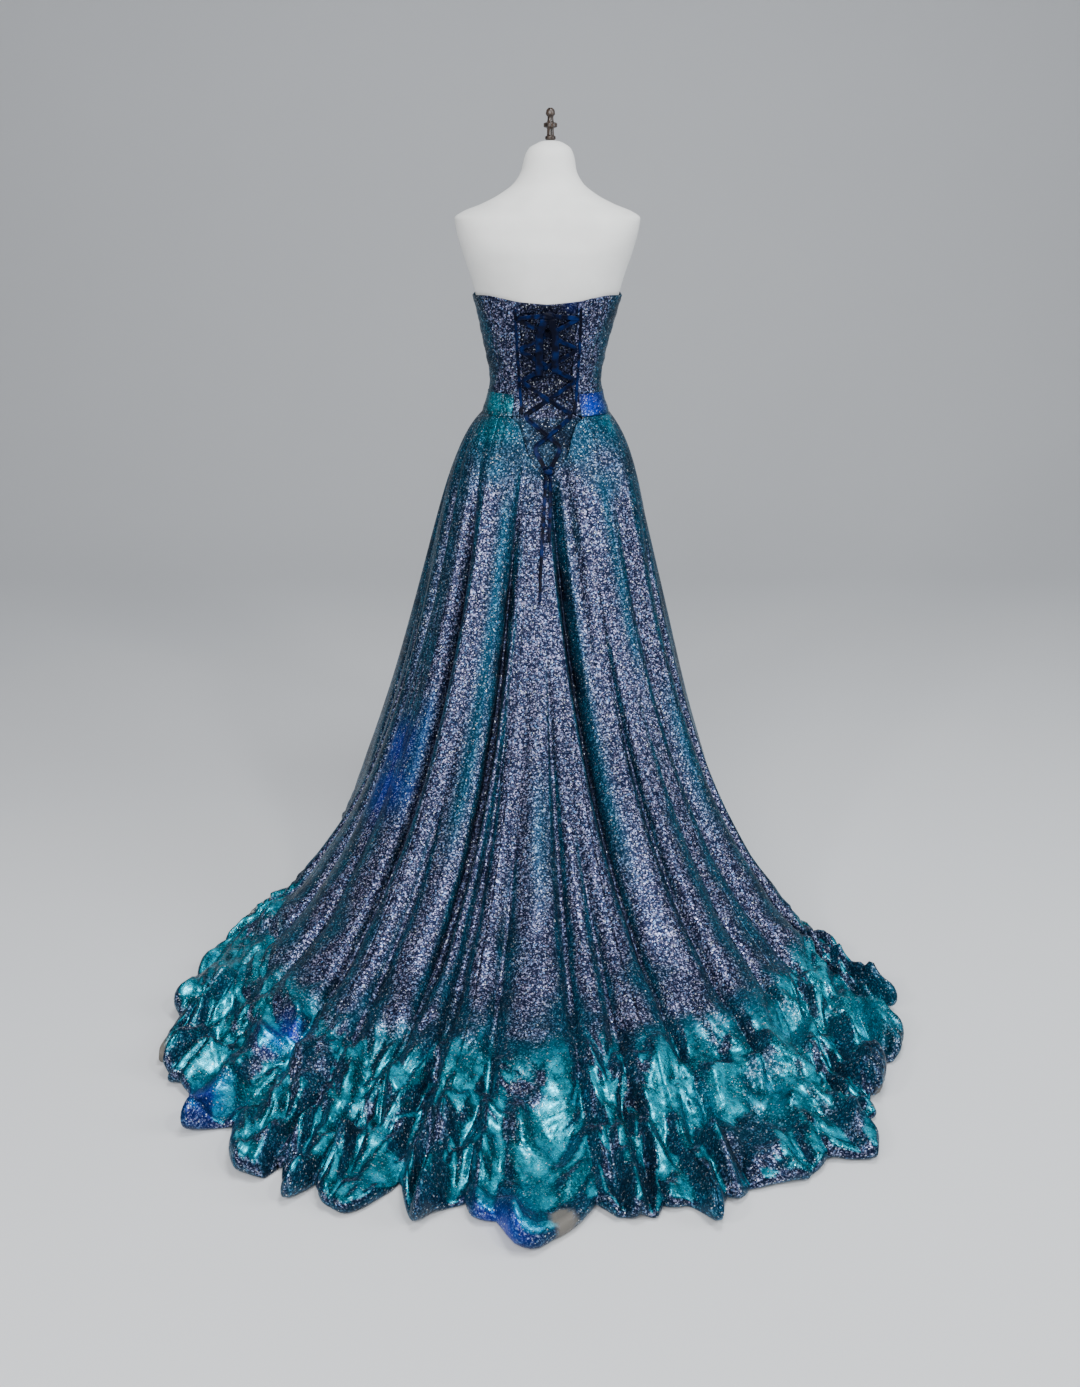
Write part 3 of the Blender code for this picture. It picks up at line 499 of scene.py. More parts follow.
def glitterLook(name, values):
    # Dark cloth under flakes: small Voronoi cells, each as bright as a power of its own random
    # number. The piece's tint says how silver (a painted sheen), how deep in a fold (painted shade, with
    # darker mottling) and how cyan the cloth is, and its patch how royal blue, how much painted highlight
    # and how much painted shade. Its hem says where the lining shows.
    made, tree, shader = newLook(name)
    silver, deep, cyan = attributeParts(tree, "tint")[:3]
    royal, paintedHighlight, shade = attributeParts(tree, "patch")[:3]
    turned = attributeParts(tree, "hem")[0]
    large, small = (
        splitColour(tree, texture(tree, "Voronoi", Scale=values[scale]).outputs["Color"])
        for scale in ("flakesPerMetre", "smallFlakesPerMetre")
    )
    bright = doMath(tree, "POWER", large[0], values["flakePower"])
    bright = doMath(tree, "MAXIMUM", bright, doMath(tree, "POWER", small[0], values["smallFlakePower"]))
    # Flakes are dimmer off the painted sheen.
    bright = doMath(tree, "MULTIPLY", bright, rangeOf(tree, silver, 0.0, 1.0, values["flakesOffSheen"], 1.0))
    # Painted highlight on the cyan cloth, broken into streaks by noise.
    highlightNoise = texture(
        tree, "Noise", Scale=values["highlightNoiseScale"], Detail=4.0, Distortion=values["highlightNoiseDistortion"]
    )
    streakedHighlight = rangeOf(tree, highlightNoise.outputs[0], *values["highlightNoiseRange"])
    paintedHighlightShare = doMath(tree, "MULTIPLY", paintedHighlight, doMath(tree, "MULTIPLY_ADD", streakedHighlight, *values["highlightNoiseShare"]))
    blue = doMath(tree, "POWER", large[2], values["bluePower"])
    blue = doMath(tree, "MULTIPLY", blue, values["blueShare"])
    cloth = mixColours(tree, silver, values["tealCloth"], values["silverCloth"])
    flake = mixColours(tree, silver, values["tealFlake"], values["silverFlake"])
    flake = mixColours(tree, blue, flake, values["blueFlake"])
    cyanHighlighted = mixColours(tree, paintedHighlightShare, values["cyanCloth"], values["paintedHighlightCloth"])
    cloth = mixColours(tree, cyan, cloth, cyanHighlighted)
    flake = mixColours(tree, cyan, flake, values["cyanFlake"])
    # The deep share is mostly painted shade in the fold valleys, with darker mottling.
    for share, kind in ((royal, "royal"), (deep, "deep")):
        cloth = mixColours(tree, share, cloth, values[kind + "Cloth"])
        flake = mixColours(tree, share, flake, values[kind + "Flake"])
    colour = mixColours(tree, bright, cloth, flake)
    # Painted shade in the valleys.
    colour = mixColours(tree, shade, colour, values["deepCloth"])
    # Painted glints: the brightest small flakes turned white.
    glints = doMath(tree, "POWER", small[1], values["glintPower"])
    colour = mixColours(tree, glints, colour, values["glint"])
    colour = mixColours(tree, turned, colour, values["liningColour"])
    tree.links.new(colour, shader.inputs["Base Color"])
    shiny = rangeOf(tree, cyan, 0.0, 1.0, values["metallic"], values["cyanMetallic"])
    plain = doMath(tree, "SUBTRACT", 1.0, turned)
    tree.links.new(doMath(tree, "MULTIPLY", shiny, plain), shader.inputs["Metallic"])
    shader.inputs["Specular IOR Level"].default_value = values["specular"]
    least, most = values["roughness"] - values["smoother"], values["roughness"] + values["rougher"]
    rough = rangeOf(tree, large[1], 0.0, 1.0, least, most)
    glossy = doMath(tree, "MULTIPLY", rough, values["cyanRoughness"] / values["roughness"])
    tree.links.new(mixNumbers(tree, cyan, rough, glossy), shader.inputs["Roughness"])
    addBump(tree, shader, large[2], *values["bump"])
    return made


# Plain finishes: two colours mixed by soft noise over the given spread, a gloss that follows the
# noise or the fine texture, and a bump from the fine texture
finishes = {
    "lining": {
        "mottle": {"Scale": 60.0, "Detail": 3.0},
        "colours": ((0.20, 0.20, 0.19), (0.42, 0.41, 0.38)),
        "fine": ("Voronoi", {"Scale": 900.0}),
        "bump": (0.4, 0.0003),
        "shader": {"Roughness": 0.8, "Sheen Weight": 0.25},
    },
    "navySatin": {
        "mottle": {"Scale": 45.0, "Detail": 2.0},
        "spread": (0.40, 0.72),
        "colours": ((0.0006, 0.0015, 0.009), (0.002, 0.014, 0.085)),
        "fine": ("Noise", {"Scale": 700.0, "Detail": 2.0}),
        "glossFrom": "fine",
        "gloss": (0.3, 0.7, 0.34, 0.52),
        "bump": (0.25, 0.0002),
        "shader": {"Anisotropic": 0.5, "Specular IOR Level": 0.09},
    },
    "whiteJersey": {
        "mottle": {"Scale": 14.0, "Detail": 4.0},
        "spread": (0.3, 0.7),
        "colours": ((0.85, 0.85, 0.825), (0.91, 0.91, 0.885)),
        "fine": ("Voronoi", {"Scale": 700.0}),
        "glossFrom": "mottle",
        "gloss": (0.3, 0.7, 0.66, 0.8),
        "bump": (0.3, 0.00025),
        "shader": {"Sheen Weight": 0.12},
    },
    "darkWood": {
        "mottle": {"Scale": 1.0, "Detail": 5.0},
        "drawn": (260.0, 260.0, 30.0),
        "spread": (0.35, 0.65),
        "colours": ((0.012, 0.008, 0.006), (0.060, 0.036, 0.024)),
        "glossFrom": "mottle",
        "gloss": (0.3, 0.7, 0.25, 0.42),
        "shader": {"Coat Weight": 0.4, "Coat Roughness": 0.15},
    },
    "blackPaint": {
        "mottle": {"Scale": 9.0, "Detail": 4.0},
        "spread": (0.35, 0.7),
        "colours": ((0.018, 0.018, 0.020), (0.040, 0.040, 0.043)),
        "fine": ("Noise", {"Scale": 320.0, "Detail": 2.0}),
        "glossFrom": "mottle",
        "gloss": (0.3, 0.7, 0.32, 0.5),
        "bump": (0.2, 0.0003),
    },
    "studioPaper": {
        "mottle": {"Scale": 2.0, "Detail": 3.0},
        "colours": ((0.74, 0.75, 0.77), (0.7622, 0.7725, 0.7931)),
        "shader": {"Roughness": 0.85},
    },
}


def plainLook(name):
    # A finish from the table: the second colour's share is the soft noise, eased over its spread.
    values = finishes[name]
    made, tree, shader = newLook(name)
    found = {"mottle": texture(tree, "Noise", values.get("drawn"), **values["mottle"]).outputs[0]}
    if "fine" in values:
        kind, inputs = values["fine"]
        found["fine"] = texture(tree, kind, **inputs).outputs[0]
        if "bump" in values:
            addBump(tree, shader, found["fine"], *values["bump"])
    share = rangeOf(tree, found["mottle"], *values["spread"]) if "spread" in values else found["mottle"]
    tree.links.new(mixColours(tree, share, *values["colours"]), shader.inputs["Base Color"])
    if "gloss" in values:
        rough = rangeOf(tree, found[values["glossFrom"]], *values["gloss"])
        tree.links.new(rough, shader.inputs["Roughness"])
    for socket, value in values.get("shader", {}).items():
        shader.inputs[socket].default_value = value
    return made


looks = {"glitter": glitterLook("glitterCloth", glitter)}
for finishName in finishes:
    looks[finishName] = plainLook(finishName)
print("materials made")


# The skirt. Each fold is a valley going round from the wearer's left side past the back.
# waist: degrees round from +X. hemX, hemY: where it meets the hem. bow: how far it bends sideways.
# start: the share of the way down where it begins. mid, hem: its depth there. wide: half its width.
skirt = {
    "columns": ("waist", "hemX", "hemY", "bow", "start", "mid", "hem", "wide", "lobe"),
    "folds": (
        (-181.0, -0.672, -0.525, 0.00, 0.15, 0.030, 0.040, 0.016, 0.00),
        (-169.0, -0.695, -0.790, 0.00, 0.00, 0.050, 0.045, 0.014, 0.00),
        (-160.0, -0.650, -0.985, 0.00, 0.45, 0.012, 0.045, 0.018, 0.00),
        (-151.0, -0.535, -1.130, 0.00, 0.00, 0.060, 0.045, 0.015, 0.03),
        (-134.0, -0.440, -1.220, 0.00, 0.30, 0.020, 0.045, 0.016, 0.00),
        (-113.0, -0.355, -1.265, -0.02, 0.00, 0.050, 0.045, 0.014, 0.04),
        (-107.0, -0.240, -1.265, 0.00, 0.40, 0.016, 0.040, 0.015, 0.03),
        (-101.5, -0.125, -1.295, 0.00, 0.55, 0.008, 0.040, 0.018, 0.06),
        (-96.5, 0.080, -1.300, 0.00, 0.30, 0.020, 0.040, 0.012, 0.01),
        (-92.5, 0.185, -1.305, 0.00, 0.55, 0.008, 0.045, 0.018, 0.01),
        (-88.5, 0.325, -1.265, 0.00, 0.00, 0.055, 0.045, 0.012, -0.03),
        (-62.0, 0.470, -1.205, 0.00, 0.20, 0.035, 0.045, 0.016, 0.01),
        (-50.0, 0.565, -1.065, 0.00, 0.50, 0.008, 0.045, 0.018, -0.03),
        (-39.0, 0.620, -0.920, 0.00, 0.00, 0.030, 0.040, 0.014, 0.00),
        (-14.0, 0.660, -0.765, 0.00, 0.15, 0.055, 0.045, 0.015, 0.01),
        (-3.0, 0.608, -0.590, 0.00, 0.10, 0.030, 0.040, 0.016, 0.00),
        (9.0, 0.478, -0.380, 0.00, 0.05, 0.035, 0.035, 0.016, -0.01),
        (30.0, 0.450, -0.115, 0.00, 0.05, 0.035, 0.030, 0.018, 0.00),
        (55.0, 0.400, 0.160, 0.00, 0.05, 0.030, 0.030, 0.018, 0.00),
        (80.0, 0.205, 0.390, 0.00, 0.08, 0.030, 0.030, 0.018, 0.00),
        (104.0, -0.080, 0.440, 0.00, 0.06, 0.030, 0.030, 0.018, 0.00),
        (130.0, -0.340, 0.320, 0.00, 0.05, 0.030, 0.030, 0.018, 0.00),
        (152.0, -0.495, 0.060, 0.00, 0.05, 0.035, 0.030, 0.018, 0.00),
        (167.0, -0.535, -0.270, 0.00, 0.05, 0.035, 0.035, 0.016, 0.02),
    ),
    "dropColumns": ("length", "reach1", "z1", "reach2", "z2", "crest"),
    "drop": (
        (0.30, 0.09, 0.720, 0.18, 0.330, 0.030),
        (0.46, 0.11, 0.710, 0.20, 0.330, 0.034),
        (0.60, 0.13, 0.700, 0.21, 0.160, 0.044),
        (0.75, 0.14, 0.700, 0.22, 0.080, 0.050),
        (1.00, 0.13, 0.700, 0.31, 0.020, 0.050),
        (1.25, 0.11, 0.700, 0.41, 0.010, 0.048),
    ),
    "notch": (
        (0.000, 0.915),
        (0.022, 0.938),
        (0.043, 0.972),
        (0.052, 1.004),
        (0.062, 1.030),
        (0.078, 1.041),
    ),
    "notchX": 0.004,
    "notchGap": 0.0003,
    "notchSearch": (0.25, 161),
    "top": 1.041,
    "waistZ": 1.0407,
    "waistLift": 0.0093,
    "hemLobe": 0.030,
    "lobeSpan": (0.3, 0.4),
    "widerAtHem": 1.7,
    "hipSwell": 0.052,
    "hipFall": 0.050,
    "flatBack": 1.40,
    "flatBackWide": 0.065,
    "clearance": 0.0068,
    "wall": 0.0016,
    "low": 0.0020,
    "creaseSpan": (0.55, 0.45),
    "creases": ((0.190, 20.0, 0.3, 0.010), (0.150, 75.0, 1.9, 0.009), (0.120, 128.0, 4.1, 0.008)),
    "creaseShare": 0.45,
    "crumpleSpan": (0.79, 0.16),
    "crumpleAcross": 0.105,
    "crumpleDown": 1.15,
    "calmFront": 0.60,
    "calmSpan": (-0.50, 0.20),
    "crumples": ((0.170, 25.0, 0.13, 0.0250), (0.096, 118.0, 0.71, 0.0190), (0.052, 62.0, 0.37, 0.0095)),
    "narrow": 0.55,
    "shallow": (0.48, 0.34),
    "deepensOver": 0.32,
    "hemDeepens": (0.5, 0.45),
    "leastPleat": 0.004,
    "valleyPower": 1.4,
    "fullDepth": 0.028,
    "flutes": (0.0030, 0.0010),
    "fluteRoom": (0.035, 0.05),
    "fluteSpans": ((0.0, 0.25), (0.35, 0.35)),
    "gather": 0.0004,
    "gatherSpans": ((0.0, 0.02), (0.03, 0.10)),
    "hemSpan": (0.86, 0.14),
    "seamGap": 0.0004,
    "colourSpan": (0.82, 0.07),
    "zigzag": 0.017,
    "edgeLow": 0.70,
    "columnsPerFold": 28,
    "rows": 236,
    "rollRows": 9,
    "rollSmooth": 8,
    "hemRise": 0.003,
    "hemRiseSpan": (0.9, 0.1),
    "closerAtHem": 0.12,
    "closerInValleys": 0.4,
}
# Each gore runs from one valley to another.
gores = {
    "skirt_side_left": (0, 3),
    "skirt_back_left": (3, 6),
    "skirt_centre_back_left": (6, 9),
    "skirt_centre_back_right": (9, 12),
    "skirt_back_right": (12, 15),
    "skirt_side_right": (15, 18),
    "skirt_front_right": (18, 21),
    "skirt_front_left": (21, 24),
}


def fold(name):
    # One column of the folds' table.
    return column(skirt["folds"], skirt["columns"], name)


def drop(length, name):
    # One column of the drops' table for a path of this length.
    return tableCurve(length, skirt["drop"], skirt["dropColumns"], name)


def skirtBase(s, t):
    # Over the crests each path falls from waist to hem as a cubic Bezier of reach and height,
    # pushed out over the hips by a swell that dies away downwards.
    angle = np.radians(aroundFolds(s, fold("waist"), 360.0))
    waist = formPoint(angle, np.full(np.shape(s), skirt["waistZ"]), skirt["waistLift"])
    hem = np.stack([aroundFolds(s, fold("hemX")), aroundFolds(s, fold("hemY"))], -1)
    way = hem - waist[..., :2]
    length = np.linalg.norm(way, axis=-1)
    way = way / length[..., None]
    scallop = np.abs(np.sin(math.pi * s))
    drawnIn = skirt["hemLobe"] * (1 - scallop) * rise(length, skirt["lobeSpan"])
    extra = fold("lobe")[np.floor(s).astype(int) % len(skirt["folds"])] * scallop
    a, b, c, d = (1 - t) ** 3, 3 * t * (1 - t) ** 2, 3 * t**2 * (1 - t), t**3
    flat = skirt["flatBack"] * np.exp(-((waist[..., 0] / skirt["flatBackWide"]) ** 2))
    swell = skirt["hipSwell"] * (1 - flat * ease(-waist[..., 1] / 0.08))
    reach = b * drop(length, "reach1") + c * drop(length, "reach2")
    reach = reach + d * (length - drawnIn + extra - swell)
    z = a * waist[..., 2] + b * drop(length, "z1") + c * drop(length, "z2")
    z = z + d * drop(length, "crest")
    reach = reach + swell * (1 - np.exp((z - waist[..., 2]) / skirt["hipFall"]))
    share = reach / length
    side = np.stack([way[..., 1], -way[..., 0]], -1)
    bend = aroundFolds(s, fold("bow")) * 4 * share * (1 - share)
    plan = waist[..., :2] + way * reach[..., None] + side * bend[..., None]
    return np.concatenate([plan, z[..., None]], -1)


def outOf(s, t):
    # The way out of the skirt's crests: the cross product of small steps down and across.
    step = 0.004
    across = skirtBase(s + step, t) - skirtBase(s - step, t)
    down = skirtBase(s, np.clip(t + step, 0, 1)) - skirtBase(s, np.clip(t - step, 0, 1))
    return unit(np.cross(down, across))


def valleyDepth(s, t):
    # How far the cloth lies inside its crests, and how deep in a valley it is from 0 to 1.
    nearest = np.round(s).astype(int)
    k = nearest % len(skirt["folds"])
    spacing = np.linalg.norm(skirtBase(nearest + 0.5, t) - skirtBase(nearest - 0.5, t), axis=-1)
    away = np.abs(s - nearest) * spacing
    start = fold("start")[k]
    middle, hem, wide = fold("mid")[k], fold("hem")[k], fold("wide")[k]
    middle, hem = middle * skirt["shallow"][0], hem * skirt["shallow"][1]
    deep = middle * ease((t - start) / skirt["deepensOver"])
    deep = deep + (hem - middle) * rise(t, skirt["hemDeepens"])
    deep = np.maximum(deep, skirt["leastPleat"] * ease(t / 0.05) * (start < 0.1))
    wide = np.minimum(wide * (1 + (skirt["widerAtHem"] - 1) * ease(t)), 0.3 * spacing)
    wide = wide * (1 - (1 - skirt["narrow"]) * ease(t / 0.5))
    inside = np.exp(-((away / wide) ** skirt["valleyPower"]))
    return deep * inside, np.clip(deep / skirt["fullDepth"], 0, 1) * inside


def keepClear(point):
    # Keeps the cloth outside the dress form and off the floor.
    z = np.maximum(point[..., 2], skirt["low"])
    angle = np.arctan2(point[..., 1], point[..., 0])
    least = formPoint(angle, np.clip(z, form["bottom"], skirt["top"]), skirt["clearance"])
    least = np.hypot(least[..., 0], least[..., 1])
    radius = np.hypot(point[..., 0], point[..., 1])
    grow = np.where(z > form["bottom"] - 0.05, np.maximum(1, least / radius), 1)
    return np.stack([point[..., 0] * grow, point[..., 1] * grow, z], -1)


def skirtPoint(s, t, fine=True):
    # The cloth: the crests, moved out by the creases less the valleys. The fine cloth adds soft flutes
    # and gathers, which are sine waves across the folds, and the crumples by the hem.
    base = skirtBase(s, t)
    out = outOf(s, t)
    inward, _ = valleyDepth(s, t)
    large = skirt["creaseShare"] * ripple(base[..., 0], base[..., 1], skirt["creases"], True)
    move = rise(t, skirt["creaseSpan"]) * large - inward
    if fine:
        sharp = rise(t, skirt["crumpleSpan"])
        join = np.abs(s - len(skirt["folds"]) * np.round(s / len(skirt["folds"])))
        facet = crumple(s * skirt["crumpleAcross"], t * skirt["crumpleDown"], skirt["crumples"])
        calm = 1 - skirt["calmFront"] * rise(base[..., 1], skirt["calmSpan"])
        move = move + sharp * calm * ease(join / 0.5) * facet
        broad, slim = skirt["flutes"]
        flute = np.sin(2 * math.pi * (s * 1.5 + 0.35 * np.sin(s * 1.7) + 0.2 * t)) * broad
        flute = flute + np.sin(2 * math.pi * (s * 2.5 + 0.5 * np.cos(s * 2.3) + 0.4 * t)) * slim
        room = np.linalg.norm(skirtBase(s + 0.5, t) - skirtBase(s - 0.5, t), axis=-1)
        move = move + flute * rise(room, skirt["fluteRoom"]) * within(t, skirt["fluteSpans"])
        gather = np.sin(2 * math.pi * (s * 2.0 + 0.3 * np.sin(s * 3.1))) * skirt["gather"]
        move = move + gather * within(t, skirt["gatherSpans"])
    point = base + out * move[..., None]
    if fine:
        # The hem runs in and out and up and down in a zigzag of uneven sharp points.
        last = rise(t, skirt["hemSpan"])
        way = base - skirtBase(s, np.maximum(t - 0.02, 0))
        way[..., 2] = 0
        bent = s + 0.34 * triangle(0.41 * s + 0.2) + 0.15 * triangle(0.87 * s + 0.6)
        point = point + unit(way) * (skirt["zigzag"] * calm * last * triangle(1.17 * bent))[..., None]
        flat = skirt["edgeLow"] * (0.5 + 0.5 * triangle(1.61 * bent + 0.3))
        point[..., 2] = point[..., 2] * (1 - flat * last)
    start, over = skirt["hemRiseSpan"]
    lift = np.where(t > start, skirt["low"] + skirt["hemRise"] * (t - start) / over, 0)
    point[..., 2] = np.maximum(point[..., 2], lift)
    return keepClear(point)


def notchLevel(s):
    # How far down each path the V at the centre back begins.
    tries = np.linspace(0, *skirt["notchSearch"])
    xs, zs = np.array(skirt["notch"]).T
    spread = np.broadcast_to(s, (len(tries), len(s)))
    path = skirtPoint(spread, np.broadcast_to(tries[:, None], spread.shape), fine=False)
    edge = smoothCurve(np.abs(path[..., 0] - skirt["notchX"]), xs, zs) - skirt["notchGap"]
    below = path[..., 2] <= np.where(path[..., 1] < 0, edge, skirt["top"])
    return tries[np.argmax(below, axis=0)]


def levelsOf(top):
    # Levels down each path: even steps, a little closer towards the hem.
    share = np.linspace(0, 1, skirt["rows"])
    share = share + skirt["closerAtHem"] * share * (1 - share)
    return top[None, :] + (1 - top[None, :]) * share[:, None]


def rolledHem(edge, before):
    # Half circles from the hem's last row down and under: radius half its height off the floor.
    way = edge[:, :2] - before[:, :2]
    beside = range(-skirt["rollSmooth"], skirt["rollSmooth"] + 1)
    way = unit(sum(np.roll(way, shift, axis=0) for shift in beside))
    radius = (edge[:, 2] - skirt["low"]) / 2
    rows = []
    for degrees in np.linspace(0, 180, skirt["rollRows"] + 1)[1:]:
        angle = math.radians(degrees)
        plan = edge[:, :2] + way * (radius * math.sin(angle))[:, None]
        rows.append(np.column_stack([plan, edge[:, 2] - radius * (1 - math.cos(angle))]))
    return np.stack(rows)


def skirtRing():
    # The whole skirt as one closed ring of columns, drawn closer together in the valleys.
    count, each = len(skirt["folds"]), skirt["columnsPerFold"]
    even = np.arange(count * each) / each
    s = even - skirt["closerInValleys"] * np.sin(2 * math.pi * even) / (2 * math.pi)
    top = notchLevel(s)
    t = levelsOf(top)
    spread = np.broadcast_to(s, t.shape)
    grid = skirtPoint(spread, t)
    _, valley = valleyDepth(spread, t)
    roll = rolledHem(grid[-1], grid[-2])
    grid = np.concatenate([grid, roll])
    more = len(roll)
    valley = np.concatenate([valley, np.repeat(valley[-1:], more, axis=0)])
    t = np.concatenate([t, np.ones((more, t.shape[1]))])
    ring = np.concatenate([grid[:, -2:], grid, grid[:, :2]], axis=1)
    normals = levelRows(gridNormals(ring)[:, 2:-2], (0,))
    return grid, normals, s, valley, t


# Coloured places of the cloth: where each is, how far it reaches, how royal blue and how cyan;
# each cyan place also takes a painted highlight
patches = {
    "columns": ("x", "y", "z", "reach", "royal", "cyan"),
    "rows": (
        (-0.592, -1.059, 0.040, 0.045, 0.9, 0.0),
        (-0.477, -0.889, 0.061, 0.035, 0.8, 0.0),
        (-0.076, -1.370, 0.020, 0.055, 0.9, 0.0),
        (-0.324, -0.404, 0.322, 0.050, 0.7, 0.0),
        (-0.309, -0.344, 0.399, 0.050, 0.6, 0.0),
        (-0.625, -0.634, 0.060, 0.070, 0.0, 0.8),
        (0.610, -0.793, 0.043, 0.080, 0.0, 0.8),
        (0.455, -0.850, 0.040, 0.060, 0.0, 0.7),
        (0.404, -1.038, 0.020, 0.070, 0.0, 0.9),
        (0.297, -1.064, 0.037, 0.050, 0.0, 0.8),
        (0.052, -0.105, 1.268, 0.014, 0.8, 0.0),
        (0.116, -0.062, 1.025, 0.040, 0.1, 0.55),
        (-0.106, -0.080, 1.015, 0.045, 0.0, 0.55),
    ),
}


# Places where the hem turns up and shows its lining
turnedUp = {
    "columns": ("x", "y", "z", "reach"),
    "rows": (
        (0.026, -1.345, 0.020, 0.026),
        (-0.690, -0.895, 0.020, 0.024),
        (0.592, -1.020, 0.020, 0.022),
    ),
    "edge": 0.006,
    "span": (0.93, 0.02),
}


# Bands of colour along the folds: which fold, how wide in folds, from what height down to what
stripes = {
    "fade": 0.12,
    "columns": ("fold", "wide", "high", "low", "teal", "royal"),
    "rows": (
        (4.45, 0.22, 0.95, 0.22, 0.9, 0.0),
        (10.22, 0.20, 0.95, 0.18, 0.95, 0.0),
        (12.40, 0.35, 0.98, 0.50, 0.8, 0.0),
        (13.50, 0.30, 0.55, 0.20, 0.8, 0.0),
        (1.30, 0.22, 0.50, 0.22, 0.9, 0.35),
        (2.60, 0.25, 0.55, 0.25, 0.8, 0.15),
        (7.60, 0.24, 0.42, 0.16, 0.6, 0.0),
        (0.30, 0.40, 1.00, 0.10, 0.8, 0.0),
        (15.40, 0.45, 1.00, 0.25, 0.8, 0.0),
    ),
}


def cloud(points, size, shift):
    # Soft mottling from 0 to 1: the product of sine waves along three slanted ways.
    x, y, z = (points[..., k] / size for k in range(3))
    total = np.sin(2.1 * x + 1.3 * y + shift) * np.sin(1.7 * y - 2.3 * z + 2 * shift)
    total = total + np.sin(2.7 * z + 0.9 * x + 3 * shift) * np.sin(1.9 * x - 1.1 * y - shift)
    return 0.5 + 0.25 * total


# How the cloth is coloured, with painted light. A pair is where an ease begins and how far it runs.
# Each cloud is the size and shift of a mottling. paintedSheenFacing: the parts of facing back, facing
# up and being above the waist in the painted silver sheen.
shades = {
    "clouds": {
        "silver": (0.06, 0.7),
        "yoke": (0.05, 3.3),
        "cyanWhereLit": (0.085, 5.2),
        "paintedHighlight": (0.030, 1.1),
        "deep": (0.05, 4.4),
    },
    "paintedSheenFacing": (0.84, 0.64, 0.24),
    "waist": (1.042, 0.01),
    "silver": (0.68, 0.22),
    "silverUneven": 0.22,
    "yoke": (0.87, 0.12),
    "yokeUneven": 0.14,
    "yokeTeal": 0.75,
    "light": (0.30, -0.22, 0.93),
    "cyanWhereLitSlope": (0.8, 0.86),
    "cyanWhereLit": (0.36, 0.05),
    "cyan": (0.74, 0.10),
    "paintedHighlight": (0.84, 0.11),
    "paintedHighlightSpots": (0.42, 0.12),
    "paintedHighlightLeast": 0.25,
    "paintedHighlightInPlaces": 0.6,
    "lowSilver": 0.10,
    "deep": (0.45, 0.3),
    "paintedValleyShadeWeight": 0.9,
    "deepTeal": 0.5,
    "valleyShade": 0.85,
}


def clothTints(points, normals, valley, low, ends=()):
    # The cloth's colours with painted light: silver as a painted sheen where it faces back, front or
    # up, teal on its flanks and under the waist, cyan on low folds, more where they face the light, with
    # a painted highlight there, painted shade in the valleys, and the coloured places, each of which
    # fades as a bell curve of the distance from it.
    clouds = {name: cloud(points, *values) for name, values in shades["clouds"].items()}
    z = points[..., 2]
    # Painted sheen: the cloth is more silver where it faces back, front or up, and above the waist.
    back, up, above = shades["paintedSheenFacing"]
    paintedSheenFacing = back * np.abs(normals[..., 1]) + up * np.maximum(normals[..., 2], 0)
    paintedSheenFacing = paintedSheenFacing + above * rise(z, shades["waist"])
    silver = rise(paintedSheenFacing + shades["silverUneven"] * (clouds["silver"] - 0.5), shades["silver"])
    yoke = rise(z + shades["yokeUneven"] * (clouds["yoke"] - 0.5), shades["yoke"])
    waist, over = shades["waist"]
    silver = silver * (1 - shades["yokeTeal"] * yoke * ease((waist - z) / over))
    # Cyan on low folds, more where they face the light: partly the cloth's own colour, partly painted
    # light.
    lit = normals @ np.array(shades["light"])
    steep, level = shades["cyanWhereLitSlope"]
    cyanWhereLit = low * rise(clouds["cyanWhereLit"] + steep * (lit - level), shades["cyanWhereLit"]) * (1 - valley**2)
    cyan = cyanWhereLit * rise(lit, shades["cyan"])
    # Painted highlight where the low folds face the light most, in mottled spots.
    least = shades["paintedHighlightLeast"]
    paintedHighlight = rise(lit, shades["paintedHighlight"]) * (least + (1 - least) * rise(clouds["paintedHighlight"], shades["paintedHighlightSpots"]))
    silver = silver * (1 - cyan) * (1 - shades["lowSilver"] * low)
    # Darker mottling away from the sheen, and painted shade in the valleys.
    deep = shades["deepTeal"] * (1 - silver) * rise(clouds["deep"], shades["deep"])
    deep = np.clip(shades["paintedValleyShadeWeight"] * valley**2 + deep, 0, 1) * (1 - cyan)
    royal = np.zeros(points.shape[:-1])
    for spot in named({**patches, "rows": (*patches["rows"], *ends)}):
        away = ((points - [spot["x"], spot["y"], spot["z"]]) ** 2).sum(-1)
        near = np.exp(-away / spot["reach"] ** 2)
        royal = np.maximum(royal, spot["royal"] * near)
        cyan = np.maximum(cyan, spot["cyan"] * near)
        paintedHighlight = np.maximum(paintedHighlight, shades["paintedHighlightInPlaces"] * spot["cyan"] * near)
    # Painted shade, deepest in the valleys.
    shade = shades["valleyShade"] * valley**4
    tint = np.stack([silver, deep, cyan], -1)
    patch = np.stack([royal, paintedHighlight, shade], -1)
    return {"tint": tint, "patch": patch}


def addStripes(tints, grid, s):
    # Teal and blue bands that follow the folds down the skirt.
    for stripe in named(stripes):
        near = np.exp(-(((s - stripe["fold"]) / stripe["wide"]) ** 2))[None, :]
        share = near * ease((stripe["high"] - grid[..., 2]) / stripes["fade"])
        share = share * ease((grid[..., 2] - stripe["low"]) / stripes["fade"])
        tints["tint"][..., 0] *= 1 - stripe["teal"] * share
        tints["patch"][..., 0] = np.maximum(tints["patch"][..., 0], stripe["royal"] * share)


